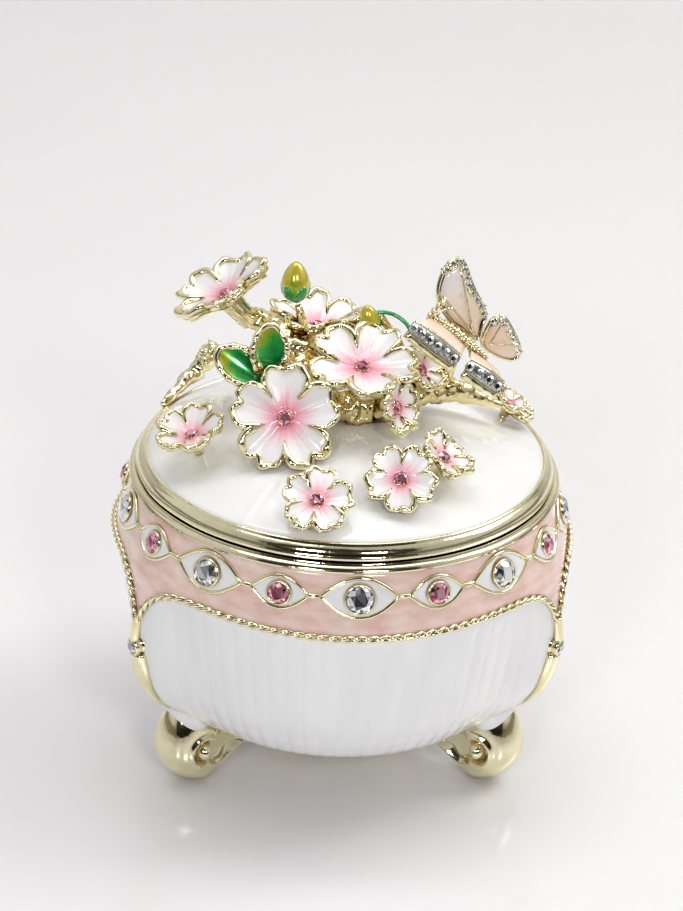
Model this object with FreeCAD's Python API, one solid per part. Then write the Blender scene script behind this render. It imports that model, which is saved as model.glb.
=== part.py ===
import FreeCAD, Part
import math
import os

from FreeCAD import Rotation, Vector

# A three-footed enamelled trinket box with a hinged domed lid.
# Frame: +Z up, the front is -Y, and the origin is on the box's axis in the plane it stands on.
# An azimuth is measured in degrees from the front, towards +X. The feet are at -60, +60 and 180.

# ---- driving dimensions (mm) ----
FOOT_AZIMUTHS = {"right": 60.0, "left": -60.0, "rear": 180.0}
PANEL_AZIMUTHS = {"front": 0.0, "right": 120.0, "left": -120.0}

# The bowl's outer surface, from its underside to the mouth: radius, height.
BOWL_PROFILE = (
    (13.0, 8.4), (20.0, 9.4), (26.0, 12.5), (30.2, 18.0), (32.0, 24.0), (33.0, 30.0), (34.0, 37.0),
    (31.7, 45.7),
)
# The hollow of the bowl, from the floor's edge to the mouth: radius, height.
BOWL_FLOOR_Z = 11.0
MOUTH_RADIUS = 29.2
HOLLOW_PROFILE = ((18.5, BOWL_FLOOR_Z), (24.0, 14.2), (27.4, 19.5), (28.9, 26.0), (MOUTH_RADIUS, 32.0))
BOWL_TOP_Z = 45.7
SEAM_Z = 47.1
MOUTH_RIM_PROFILE = ((31.8, BOWL_TOP_Z), (32.1, 46.0), (31.8, 46.6), (31.3, SEAM_Z))
ENAMEL_DEPTH = 0.6

# Border line between collar and panels: level, with a pendant that hangs down over each foot.
BORDER_Z = 36.9
PENDANT_TIP_Z = 29.6
PENDANT_HALF = 7.6
PENDANT_WAIST = (2.0, 33.6)
ROPE_WIDTH = 1.0
ROPE_HEIGHT = 0.9
# Clearance between the bowl's surface and the pieces that stand on it.
STAND_OFF = 0.08
ROPE_STAND_OFF = 0.15
BORDER_STATIONS = 120

# Band of eye-shaped cells: nine large ones with clear stones, nine small ones with pink stones.
BAND_Z = 42.3
BAND_TILT = 14.8
BAND_COUNT = 18
CLEAR_CELL = (5.45, 2.75)
PINK_CELL = (4.3, 2.35)
CELL_EDGE = 0.45
CELL_RELIEF = 0.3
LINK = (2.6, 0.6)
LINK_SHIFT = 0.55
CLEAR_STONE_DIA = 3.9
PINK_STONE_DIA = 3.1
GIRDLE_LIFT = 0.55
FOOT_STONE_DIA = 2.4
FOOT_STONE_TILT = -4.0
FOOT_STONE_Z = 25.9
FOOT_STONE_LIFT = 4.1
FOOT_CUP_DEPTH = 3.6
BEZEL_WALL = 0.4
BEZEL_DEPTH = 0.8
# A stone's crown, girdle and whole depth below the girdle's top, as shares of its diameter.
STONE_CROWN = 0.16
STONE_GIRDLE = 0.06
STONE_DEPTH = 0.18

# Lid.
DOME_RADIUS = 69.0
DOME_TOP_Z = 56.0
LID_ENAMEL_RADIUS = 29.6
LID_ENAMEL_THICK = 0.5
LID_GAP = 0.2
LID_RIM_PROFILE = (
    (30.7, SEAM_Z + LID_GAP), (31.0, 47.8), (30.8, 48.5), (30.2, 49.25), (LID_ENAMEL_RADIUS, 49.5),
)
LID_WALL = 2.0
LID_HOLLOW_RADIUS = 27.4
LIP_OUTER_RADIUS = 28.9
LIP_INNER_RADIUS = 27.6
LIP_BOTTOM_Z = 44.8

# Hinge: its pin lies across the back, behind the rim.
HINGE_Y = 33.8
HINGE_Z = 47.5
BARREL_RADIUS = 1.5
PIN_RADIUS = 0.6
PIN_CLEARANCE = 0.06
KNUCKLE_HALF = 2.2
HINGE_HALF = 5.4
KNUCKLE_GAP = 0.15

# Scroll foot, drawn in its radial plane: radius, height. It stands on its flat between 25.4 and 26.9.
FOOT_OUTLINE = (
    (18.0, 7.2), (16.6, 5.8), (17.0, 4.9), (19.3, 3.9), (21.9, 2.2), (24.3, 0.5), (25.4, 0.0), (26.9, 0.0),
    (29.2, 1.2), (31.2, 3.9), (31.7, 7.2), (31.0, 10.4), (29.6, 13.0), (28.0, 14.6), (25.0, 13.4),
    (22.5, 11.0), (21.0, 8.6),
)
FOOT_WIDTH = 8.4
FOOT_CHAMFER = 0.8
VOLUTE_CENTRE = (25.9, 6.5)
VOLUTE_BOSS_RADIUS = 1.4

# Claw over a foot: height, half width, height above the bowl's surface.
CLAW_STATIONS = (
    (24.6, 1.5, 3.4), (24.0, 1.5, 3.6), (21.0, 1.35, 4.0), (18.0, 1.0, 4.1), (14.6, 0.25, 2.6),
)

# Magnets of the closure, in blind pockets at the front.
MAGNET_RADIUS = 0.7
MAGNET_THICK = 1.2
BASE_MAGNET_RADIUS = 30.1
LID_MAGNET_RADIUS = 28.5

# ---- the spray on the lid ----
# Its points are drawn square to the box, and the whole spray is then turned on the lid by this angle.
SPRAY_TURN = -1.3

# Each blossom: centre of its heart, azimuth and elevation that it faces, spin, diameter, dish, stem foot.
# The dish is the radius of its bowl over its own radius: a low number is a deep blossom.
BLOSSOMS = {
    "front_large": ((-9.6, -11.0, 59.6), -4.0, 34.0, -2.0, 16.4, 1.9, (-6.5, -4.5, 58.3)),
    "top_large": ((1.7, -3.2, 64.2), 6.0, 74.0, 30.0, 16.8, 1.5, (2.0, -1.5, 58.6)),
    "left_large": ((-18.2, 5.6, 71.5), -88.0, 58.0, 10.0, 15.6, 1.5, (-14.2, 5.6, 67.3)),
    "rear_large": ((-4.4, 9.0, 66.4), 176.0, 78.0, 20.0, 15.2, 1.35, (-5.0, 5.5, 62.0)),
    "small_left": ((-22.9, -8.8, 55.4), -58.0, 71.0, 36.0, 10.8, 1.5, (-21.6, -7.6, 51.5)),
    "small_front": ((-5.4, -25.6, 54.0), -2.0, 54.0, 8.0, 10.8, 2.2, (-5.2, -24.2, 50.0)),
    "small_right": ((6.6, -21.4, 55.4), -4.0, 46.0, 36.0, 10.8, 2.2, (6.2, -19.4, 51.8)),
    "small_outer": ((12.9, -16.6, 56.4), 65.0, 55.0, 20.0, 9.0, 1.6, (12.0, -15.0, 52.4)),
    "small_trunk": ((6.4, -9.0, 60.6), 58.0, 24.0, 0.0, 8.8, 1.6, (3.9, -6.6, 58.2)),
    "small_rear": ((25.0, 7.8, 53.2), 86.0, 57.0, 0.0, 8.6, 1.6, (24.0, 7.3, 50.0)),
    "small_wing": ((10.9, 0.6, 62.4), 60.0, 40.0, 20.0, 8.8, 1.6, (9.6, 1.4, 58.6)),
}
LARGE_STONE = 2.3
SMALL_STONE = 2.1
LARGE_CUP_THICK = 1.1
SMALL_CUP_THICK = 0.9
PETAL_RIM = 0.5
PETAL_ENAMEL = 0.35
NOTCH_SHARE = 0.56
HEART_LIFT = 0.35
STEM_RADIUS = 0.9

# Limbs of the branch, as points and the radius at each.
TRUNK = (
    ((-15.0, 5.4, 67.2), 0.9), ((-11.2, 3.4, 65.2), 1.1), ((-8.6, 1.6, 61.8), 1.3), ((-6.2, -2.6, 58.8), 1.6),
    ((-1.2, -3.6, 57.9), 1.9), ((3.6, -4.4, 57.7), 1.8),
)
RIGHT_LIMB = (
    ((3.6, -4.4, 57.7), 1.6), ((8.2, 0.4, 57.9), 1.5), ((13.4, 3.6, 56.6), 1.2), ((20.0, 6.4, 53.6), 0.7),
)
REAR_LIMB = (((-8.6, 1.6, 61.8), 1.0), ((-5.2, 5.4, 62.4), 0.9))
BUD_STEM = (((8.2, 0.4, 57.9), 0.8), ((7.6, 4.2, 64.0), 0.7), ((4.6, 5.4, 68.6), 0.6))
TOP_STEM = (((-5.2, 5.4, 62.4), 0.7), ((-7.6, 6.9, 69.4), 0.6))

# Twig at the back left of the dome, thick and thin by turns like a row of beads.
TWIG_POINTS = (
    (-26.6, 12.4, 51.2), (-25.6, 13.9, 51.7), (-24.5, 15.3, 52.3), (-23.5, 16.7, 53.0), (-22.5, 18.0, 53.9),
    (-21.4, 19.1, 55.0), (-20.3, 19.9, 56.3), (-19.3, 20.4, 57.7), (-18.4, 20.6, 59.2), (-17.6, 20.4, 60.6),
)
TWIG_BEAD = 0.9
TWIG_WAIST = 0.55

# Leaves: root, tip, the way the face looks, width. Buds: root, tip, radius.
LEAVES = {
    "left": ((-13.0, -6.2, 62.6), (-19.6, -5.0, 67.2), (0.1, -0.9, 0.6), 4.6),
    "right": ((-12.0, -5.4, 62.9), (-12.3, -3.6, 71.0), (0.35, -1.0, 0.2), 4.8),
}
LEAF_THICK = 0.9
LEAF_ENAMEL = 0.4
LEAF_RIM = 0.5
BUDS = {
    "upper": ((-8.0, 7.0, 69.8), (-8.0, 7.4, 76.2), 2.0),
    "right": ((3.2, 5.2, 65.6), (2.5, 4.6, 70.6), 1.8),
}

# Butterfly: a wing's corners in order round it, and the body and feelers as points with radii.
WINGS = {
    "forewing_far": ((15.4, -0.6, 67.2), (12.4, 1.6, 72.5), (13.6, 2.2, 78.6), (14.9, 2.2, 79.9),
                     (16.4, 2.6, 78.0), (17.8, 2.6, 73.5), (19.6, 2.6, 69.0), (17.2, 1.2, 65.9)),
    "hindwing_far": ((17.6, 1.4, 65.6), (20.0, 2.6, 69.4), (22.4, 3.0, 69.9), (24.0, 3.2, 68.0),
                     (25.0, 3.2, 64.6), (23.4, 3.0, 63.7), (20.6, 2.4, 64.2)),
    "forewing_near": ((13.6, -1.6, 66.9), (8.6, -5.4, 71.6), (7.4, -5.8, 70.6), (8.6, -5.6, 68.4),
                      (14.6, -4.0, 63.4), (15.8, -1.6, 65.2)),
    "hindwing_near": ((16.2, -1.4, 65.0), (15.2, -3.6, 63.8), (20.4, -5.2, 60.4), (22.6, -4.6, 60.9),
                      (22.0, -3.2, 63.0), (18.8, -1.4, 64.6)),
}
WING_THICK = 0.8
WING_ENAMEL = 0.25
WING_FIELD_SHARE = 0.72
BODY = (
    ((13.0, -0.9, 67.4), 0.9), ((14.6, -0.7, 66.4), 1.1), ((16.4, -0.4, 65.2), 0.95),
    ((18.6, -0.1, 63.7), 0.75), ((20.6, 0.2, 62.3), 0.5),
)
BODY_POST = (((15.6, -0.5, 65.8), 0.8), ((14.2, 3.2, 56.8), 0.8))
FEELERS = (
    (((12.6, -0.9, 68.4), 0.3), ((10.6, -1.4, 70.4), 0.3)),
    (((12.6, -0.9, 68.4), 0.3), ((11.6, 0.6, 71.6), 0.3)),
)
PAVE_RADIUS = 0.45
PAVE_LIFT = 0.46
# Where a wing's row of stones starts and ends, as corners of the wing.
PAVE_EDGES = {
    "forewing_far": (3, 5), "hindwing_far": (3, 5), "forewing_near": (2, 3), "hindwing_near": (2, 3),
}

nodes = {}


def polar(azimuth, radius, z):
    """Point at an azimuth from the front, a radius from the axis, and a height."""
    angle = math.radians(azimuth)
    return Vector(radius * math.sin(angle), -radius * math.cos(angle), z)


def cut_all(shape, tools):
    """Cut the tools from a shape, leaving out those that cannot touch it."""
    near = [tool for tool in tools if shape.BoundBox.intersect(tool.BoundBox)]
    return shape.cut(near) if near else shape


def fuse_all(shapes):
    """Fuse shapes into one."""
    return shapes[0].multiFuse(shapes[1:])


def group(shapes):
    """Separate solids that share a node."""
    return Part.makeCompound([solid for shape in shapes for solid in shape.Solids])


def largest(shape):
    """The largest solid of a shape, without the crumbs of a cut."""
    return max(shape.Solids, key=lambda solid: solid.Volume)


def turned(outline):
    """Solid of revolution about Z from (radius, z) corners."""
    points = [Vector(radius, 0.0, z) for radius, z in outline]
    face = Part.Face(Part.makePolygon(points + points[:1]))
    return face.revolve(Vector(0, 0, 0), Vector(0, 0, 1), 360.0)


def aimed(shape, centre, azimuth, elevation, spin=0.0):
    """Move a shape built round +Z so that its +Z faces the azimuth and elevation."""
    moved = shape.copy()
    moved.rotate(Vector(0, 0, 0), Vector(0, 0, 1), -spin)
    moved.rotate(Vector(0, 0, 0), Vector(1, 0, 0), 90.0 - elevation)
    moved.rotate(Vector(0, 0, 0), Vector(0, 0, 1), azimuth)
    moved.translate(Vector(centre))
    return moved


# ---- bowl surface ----
def bowl_solid(inset=0.0):
    """The bowl's outer form, drawn in by the inset."""
    outline = [(radius - inset, z) for radius, z in BOWL_PROFILE]
    return turned([(0, BOWL_PROFILE[0][1])] + outline + [(0, BOWL_PROFILE[-1][1])])


def bowl_radius(z):
    """Radius of the bowl's outer surface at a height."""
    for low, high in zip(BOWL_PROFILE, BOWL_PROFILE[1:]):
        if z <= high[1]:
            break
    share = (z - low[1]) / (high[1] - low[1])
    return low[0] + share * (high[0] - low[0])


def border_z(azimuth):
    """Height of the line where the pink collar ends and the white panels begin."""
    local = (azimuth + 60.0) % 120.0 - 60.0
    across = abs(math.radians(60.0 - abs(local)) * BOWL_PROFILE[-2][0])
    waist, waist_z = PENDANT_WAIST
    if across > PENDANT_HALF:
        return BORDER_Z
    if across > waist:
        return waist_z + (BORDER_Z - waist_z) * (across - waist) / (PENDANT_HALF - waist)
    return PENDANT_TIP_Z + (waist_z - PENDANT_TIP_Z) * across / waist


def pendant_prism(azimuth):
    """Radial prism with the outline of the pendant over a foot."""
    waist, waist_z = PENDANT_WAIST
    outline = ((0, PENDANT_TIP_Z), (waist, waist_z), (PENDANT_HALF, BORDER_Z), (PENDANT_HALF, BORDER_Z + 1.0),
               (-PENDANT_HALF, BORDER_Z + 1.0), (-PENDANT_HALF, BORDER_Z), (-waist, waist_z))
    points = [Vector(across, z - BORDER_Z, 0) for across, z in outline]
    prism = Part.Face(Part.makePolygon(points + points[:1])).extrude(Vector(0, 0, 14.0))
    return aimed(prism, polar(azimuth, 26.0, BORDER_Z), azimuth, 0.0)


def stations():
    """Azimuths along the border, evenly spaced, with the feet among them."""
    return [360.0 * index / BORDER_STATIONS for index in range(BORDER_STATIONS)]


def solid_from_rings(rings, closed=True):
    """Closed faceted solid through rings that have the same number of corners."""
    faces = []
    corners = len(rings[0])
    pairs = list(zip(rings, rings[1:] + rings[:1]))
    for here, there in pairs if closed else pairs[:-1]:
        for corner in range(corners):
            following = (corner + 1) % corners
            quad = (here[corner], here[following], there[following], there[corner])
            faces.append(Part.Face(Part.makePolygon([quad[0], quad[1], quad[2], quad[0]])))
            faces.append(Part.Face(Part.makePolygon([quad[0], quad[2], quad[3], quad[0]])))
    if not closed:
        for end in (rings[0], rings[-1]):
            for corner in range(1, corners - 1):
                faces.append(Part.Face(Part.makePolygon([end[0], end[corner], end[corner + 1], end[0]])))
    shell = Part.Shell(faces)
    shell.sewShape()
    solid = Part.Solid(shell)
    if solid.Volume < 0:
        solid.reverse()
    return solid


def wedge(azimuth, half_angle, low_z, high_z, radius=45.0):
    """Sector of a disc round an azimuth."""
    points = [Vector(0, 0, low_z)]
    steps = 6
    for index in range(steps + 1):
        points.append(polar(azimuth - half_angle + 2.0 * half_angle * index / steps, radius, low_z))
    face = Part.Face(Part.makePolygon(points + points[:1]))
    return face.extrude(Vector(0, 0, high_z - low_z))


# ---- base ----
def rope_border():
    """Gold border that stands on the bowl along the border line."""
    rings = []
    shoulder = ROPE_WIDTH / 5.0
    for azimuth in stations():
        low_z = border_z(azimuth) - ROPE_WIDTH / 2.0
        high_z = low_z + ROPE_WIDTH
        low_foot = bowl_radius(low_z) + ROPE_STAND_OFF
        high_foot = bowl_radius(high_z) + ROPE_STAND_OFF
        rings.append((
            polar(azimuth, low_foot, low_z), polar(azimuth, low_foot + ROPE_HEIGHT, low_z + shoulder),
            polar(azimuth, high_foot + ROPE_HEIGHT, high_z - shoulder), polar(azimuth, high_foot, high_z),
        ))
    return solid_from_rings(rings)


def eye_prism(azimuth, half_length, half_height):
    """Radial prism with an eye-shaped outline, at one place of the band."""
    left = Vector(-half_length, 0, 0)
    right = Vector(half_length, 0, 0)
    upper = Part.Arc(left, Vector(0, half_height, 0), right).toShape()
    lower = Part.Arc(right, Vector(0, -half_height, 0), left).toShape()
    prism = Part.Face(Part.Wire([upper, lower])).extrude(Vector(0, 0, 8.0))
    return aimed(prism, polar(azimuth, 28.0, BAND_Z), azimuth, 0.0)


def band_azimuths(parity):
    """Azimuths of every second place of the band, where the front is place 0."""
    return [360.0 * place / BAND_COUNT for place in range(parity, BAND_COUNT, 2)]


def stone(diameter):
    """Faceted stone with its girdle at z = 0, table up."""
    radius = diameter / 2.0
    crown = STONE_CROWN * diameter
    girdle = STONE_GIRDLE * diameter
    outline = ((0, -STONE_DEPTH * diameter), (radius, -girdle), (radius, 0), (0.58 * radius, crown),
               (0, crown))
    return turned(outline)


def bezel(diameter, depth):
    """Open cup round a stone, with the stone's seat cut out."""
    radius = diameter / 2.0
    return turned(((0, -depth), (radius + BEZEL_WALL, -depth), (radius + BEZEL_WALL, 0.1), (radius, 0.25),
                   (radius, -STONE_GIRDLE * diameter), (0, -STONE_DEPTH * diameter)))


def collar_and_band(outer, inner):
    """Collar enamel, the eye cells, their enamel, bezels and stones."""
    skin = outer.cut(inner)
    raised = bowl_solid(-CELL_RELIEF).cut(inner)
    places = [(az, CLEAR_CELL, CLEAR_STONE_DIA) for az in band_azimuths(0)]
    places += [(az, PINK_CELL, PINK_STONE_DIA) for az in band_azimuths(1)]
    whole_cells = []
    fields = []
    bezels = []
    stones = {CLEAR_STONE_DIA: [], PINK_STONE_DIA: []}
    cups = []
    for azimuth, (length, height), diameter in places:
        whole_cells.append(eye_prism(azimuth, length, height))
        fields.append(eye_prism(azimuth, length - 2.0 * CELL_EDGE, height - CELL_EDGE))
        girdle = polar(azimuth, bowl_radius(BAND_Z) + GIRDLE_LIFT, BAND_Z)
        bezels.append(aimed(bezel(diameter, BEZEL_DEPTH), girdle, azimuth, BAND_TILT))
        stones[diameter].append(aimed(stone(diameter), girdle, azimuth, BAND_TILT))
        cup = Part.makeCylinder(diameter / 2.0 + BEZEL_WALL, 6.0, Vector(0, 0, -3.0))
        cups.append(aimed(cup, girdle, azimuth, BAND_TILT))
    links = []
    for place in range(BAND_COUNT):
        azimuth = 360.0 * (place + 0.5) / BAND_COUNT
        link = Part.makeBox(LINK[0], LINK[1], 8.0, Vector(-LINK[0] / 2.0, -LINK[1] / 2.0, 0))
        shift = LINK_SHIFT if place % 2 == 0 else -LINK_SHIFT
        azimuth += math.degrees(shift / bowl_radius(BAND_Z))
        links.append(aimed(link, polar(azimuth, 28.0, BAND_Z), azimuth, 0.0))
    lattice = fuse_all(whole_cells + links)
    collar = skin.common(collar_zone()).cut(lattice)
    cells = raised.common(lattice).cut(Part.makeCompound(fields)).cut(Part.makeCompound(cups))
    enamel = []
    for field, cup in zip(fields, cups):
        enamel += skin.common(field).cut(cup).Solids
    return collar, cells, enamel, bezels, stones


def collar_zone():
    """The level band of the collar with its three pendants."""
    band = Part.makeCylinder(40.0, BOWL_TOP_Z - BORDER_Z, Vector(0, 0, BORDER_Z))
    return fuse_all([band] + [pendant_prism(azimuth) for azimuth in FOOT_AZIMUTHS.values()])


def panel_enamel(outer, inner, azimuth):
    """White skin of one panel, from the border down to the edge of the underside."""
    slab = wedge(azimuth, 60.0, BOWL_PROFILE[0][1], BORDER_Z)
    pendants = [pendant_prism(foot) for foot in FOOT_AZIMUTHS.values()]
    return outer.cut(inner).common(slab).cut(Part.makeCompound(pendants))


def strap(azimuth):
    """Tapered claw below the foot stone, with the stone's cup at its top."""
    rings = []
    for z, half, proud in CLAW_STATIONS:
        surface = bowl_radius(z)
        half_angle = math.degrees(half / surface)
        left = azimuth - half_angle
        right = azimuth + half_angle
        foot = surface + STAND_OFF
        rings.append((polar(left, foot, z), polar(left + 0.3 * half_angle, surface + proud, z),
                      polar(right - 0.3 * half_angle, surface + proud, z), polar(right, foot, z)))
    claw = solid_from_rings(rings, closed=False)
    girdle = foot_stone_centre(azimuth)
    cup = aimed(bezel(FOOT_STONE_DIA, FOOT_CUP_DEPTH), girdle, azimuth, FOOT_STONE_TILT)
    return fuse_all([claw, cup])


def foot_stone_centre(azimuth):
    """Girdle centre of the stone over a foot."""
    return polar(azimuth, bowl_radius(FOOT_STONE_Z) + FOOT_STONE_LIFT, FOOT_STONE_Z)


def scroll_foot(azimuth, bowl):
    """Scroll foot: a rounded sole, a coil boss on each side and a tail that curls in under the bowl."""
    points = [Vector(radius, 0, z) for radius, z in FOOT_OUTLINE]
    face = Part.Face(Part.makePolygon(points + points[:1]))
    face.translate(Vector(0, -FOOT_WIDTH / 2.0, 0))
    body = face.extrude(Vector(0, FOOT_WIDTH, 0))
    ribs = [edge for edge in body.Edges if edge.BoundBox.YLength < 0.01
            and edge.BoundBox.ZMax < 13.5 and edge.BoundBox.ZMin > 0.2 and edge.BoundBox.XMin > 23.0]
    body = body.makeChamfer(FOOT_CHAMFER, ribs)
    bosses = []
    for side in (-1.0, 1.0):
        base = Vector(VOLUTE_CENTRE[0], side * (FOOT_WIDTH / 2.0), VOLUTE_CENTRE[1])
        bosses.append(Part.makeSphere(VOLUTE_BOSS_RADIUS, base))
    foot = fuse_all([body] + bosses)
    foot.rotate(Vector(0, 0, 0), Vector(0, 0, 1), azimuth - 90.0)
    return largest(foot.cut(bowl))


def hinge_barrel(low_x, high_x):
    """Knuckle round the hinge axis, bored for the pin."""
    start = Vector(low_x, HINGE_Y, HINGE_Z)
    outer = Part.makeCylinder(BARREL_RADIUS, high_x - low_x, start, Vector(1, 0, 0))
    bore = Part.makeCylinder(PIN_RADIUS + PIN_CLEARANCE, high_x - low_x, start, Vector(1, 0, 0))
    return outer, bore


def hinge_base_leaf(base_solids):
    """Two outer knuckles on a plate soldered to the back of the bowl's rim."""
    plate = Part.makeBox(2.0 * HINGE_HALF, 2.0, 2.2, Vector(-HINGE_HALF, HINGE_Y - 2.5, HINGE_Z - 2.9))
    parts = [plate]
    bores = []
    inner_end = KNUCKLE_HALF + KNUCKLE_GAP
    for low_x, high_x in ((-HINGE_HALF, -inner_end), (inner_end, HINGE_HALF)):
        outer, bore = hinge_barrel(low_x, high_x)
        parts.append(outer)
        bores.append(bore)
    leaf = fuse_all(parts)
    swing = Part.makeCylinder(BARREL_RADIUS + LID_GAP, 2.0 * (KNUCKLE_HALF + KNUCKLE_GAP),
                              Vector(-KNUCKLE_HALF - KNUCKLE_GAP, HINGE_Y, HINGE_Z), Vector(1, 0, 0))
    return largest(cut_all(leaf, bores + [swing] + base_solids))


def hinge_lid_leaf(lid_solids):
    """Middle knuckle on a plate soldered to the lid's rim."""
    outer, bore = hinge_barrel(-KNUCKLE_HALF, KNUCKLE_HALF)
    plate = Part.makeBox(2.0 * KNUCKLE_HALF, 4.0, 0.9, Vector(-KNUCKLE_HALF, HINGE_Y - 4.0, HINGE_Z + 0.55))
    leaf = fuse_all([outer, plate])
    return largest(cut_all(leaf, [bore] + lid_solids))


def hinge_pin():
    """Pin with a small upset head at each end."""
    length = 2.0 * HINGE_HALF
    pin = Part.makeCylinder(PIN_RADIUS, length, Vector(-HINGE_HALF, HINGE_Y, HINGE_Z), Vector(1, 0, 0))
    heads = []
    for start in (-HINGE_HALF - 0.4, HINGE_HALF):
        place = Vector(start, HINGE_Y, HINGE_Z)
        heads.append(Part.makeCylinder(PIN_RADIUS + 0.3, 0.4, place, Vector(1, 0, 0)))
    return fuse_all([pin] + heads)


def make_base():
    """Every piece of the base."""
    outer = bowl_solid()
    inner = bowl_solid(ENAMEL_DEPTH)
    cavity = turned(((0, BOWL_FLOOR_Z),) + HOLLOW_PROFILE + ((MOUTH_RADIUS, BOWL_TOP_Z), (0, BOWL_TOP_Z)))
    collar, cells, eye_enamel, bezels, stones = collar_and_band(outer, inner)
    panels = {side: panel_enamel(outer, inner, azimuth) for side, azimuth in PANEL_AZIMUTHS.items()}
    clear = stones[CLEAR_STONE_DIA]
    pink = stones[PINK_STONE_DIA]
    magnet_place = polar(0.0, BASE_MAGNET_RADIUS, BOWL_TOP_Z - MAGNET_THICK)
    magnet = Part.makeCylinder(MAGNET_RADIUS, MAGNET_THICK, magnet_place)
    casting = inner.cut(cavity).cut(magnet)
    rim = turned(((MOUTH_RADIUS, BOWL_TOP_Z),) + MOUTH_RIM_PROFILE + ((MOUTH_RADIUS, SEAM_Z),))
    nodes["bowl_casting"] = largest(casting)
    nodes["mouth_rim"] = rim
    nodes["collar_enamel"] = group([collar])
    nodes["eye_cells"] = group([cells])
    nodes["eye_enamel"] = group(eye_enamel)
    nodes["band_bezels"] = group(bezels)
    nodes["band_crystals_clear"] = group(clear)
    nodes["band_crystals_pink"] = group(pink)
    for side, panel in panels.items():
        nodes["panel_enamel_" + side] = largest(panel)
    nodes["base_magnet"] = magnet
    foot_stones = []
    for side, azimuth in FOOT_AZIMUTHS.items():
        foot_stones.append(aimed(stone(FOOT_STONE_DIA), foot_stone_centre(azimuth), azimuth, FOOT_STONE_TILT))
        nodes["leg_strap_" + side] = strap(azimuth)
        nodes["scroll_foot_" + side] = scroll_foot(azimuth, bowl_solid(-STAND_OFF))
    nodes["leg_crystals"] = group(foot_stones)
    nodes["rope_border"] = rope_border()
    nodes["hinge_base_leaf"] = hinge_base_leaf([outer, rim, nodes["eye_cells"]] + bezels + pink)
    nodes["hinge_pin"] = hinge_pin()


# ---- lid ----
def dome(lift):
    """Solid under the lid's dome, raised by the lift."""
    centre = Vector(0, 0, DOME_TOP_Z - DOME_RADIUS)
    ball = Part.makeSphere(DOME_RADIUS + lift, centre)
    slab = Part.makeCylinder(LID_ENAMEL_RADIUS + 5.0, 30.0, Vector(0, 0, SEAM_Z + LID_GAP))
    return ball.common(slab)


def make_lid_shell():
    """Lid casting, its enamel, rim, locating lip and magnet."""
    low_z = SEAM_Z + LID_GAP
    disc = Part.makeCylinder(LID_ENAMEL_RADIUS, 30.0, Vector(0, 0, low_z))
    metal = dome(-LID_ENAMEL_THICK).common(disc)
    room = Part.makeCylinder(LID_HOLLOW_RADIUS, 30.0, Vector(0, 0, low_z))
    hollow = dome(-LID_ENAMEL_THICK - LID_WALL).common(room)
    magnet = Part.makeCylinder(MAGNET_RADIUS, MAGNET_THICK, polar(0.0, LID_MAGNET_RADIUS, low_z))
    nodes["lid_casting"] = metal.cut(hollow).cut(magnet)
    nodes["lid_enamel"] = dome(0.0).common(disc).cut(dome(-LID_ENAMEL_THICK))
    nodes["lid_rim"] = turned(((LID_ENAMEL_RADIUS, low_z),) + LID_RIM_PROFILE)
    nodes["locating_lip"] = turned(((LIP_INNER_RADIUS, LIP_BOTTOM_Z), (LIP_OUTER_RADIUS - 0.4, LIP_BOTTOM_Z),
                                    (LIP_OUTER_RADIUS, LIP_BOTTOM_Z + 0.4), (LIP_OUTER_RADIUS, low_z),
                                    (LIP_INNER_RADIUS, low_z)))
    nodes["lid_magnet"] = magnet
    shell = [nodes["lid_casting"], nodes["lid_enamel"], nodes["lid_rim"]]
    nodes["hinge_lid_leaf"] = hinge_lid_leaf(shell)


def limb(route, sides=8):
    """Tapered round limb through (point, radius) stations."""
    points = [Vector(*point) for point, radius in route]
    rings = []
    side = None
    for index, (point, radius) in enumerate(route):
        before = points[max(index - 1, 0)]
        after = points[min(index + 1, len(points) - 1)]
        along = after - before
        along.normalize()
        if side is None:
            side = along.cross(Vector(0.3, 0.2, 1.0) if abs(along.z) < 0.9 else Vector(1, 0, 0))
        side = side - along * side.dot(along)
        side.normalize()
        other = along.cross(side)
        ring = []
        for corner in range(sides):
            angle = 2.0 * math.pi * corner / sides
            reach = side * (radius * math.cos(angle)) + other * (radius * math.sin(angle))
            ring.append(points[index] + reach)
        rings.append(ring)
    return solid_from_rings(rings, closed=False)


def petal_outline(radius, petals=5):
    """Closed wire with five round lobes that meet in notches."""
    notch = NOTCH_SHARE * radius
    edges = []
    for index in range(petals):
        angles = [2.0 * math.pi * (index + offset) / petals for offset in (-0.5, 0.0, 0.5)]
        ends = [Vector(reach * math.sin(angle), reach * math.cos(angle), 0)
                for angle, reach in zip(angles, (notch, radius, notch))]
        edges.append(Part.Arc(*ends).toShape())
    return Part.Wire(edges)


def dish(radius, low, high, curve):
    """Space between two bowls that meet the local axis at the heights low and high."""
    ball_radius = curve * radius
    upper = Part.makeSphere(ball_radius, Vector(0, 0, high + ball_radius))
    lower = Part.makeSphere(ball_radius, Vector(0, 0, low + ball_radius))
    return lower.cut(upper)


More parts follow.
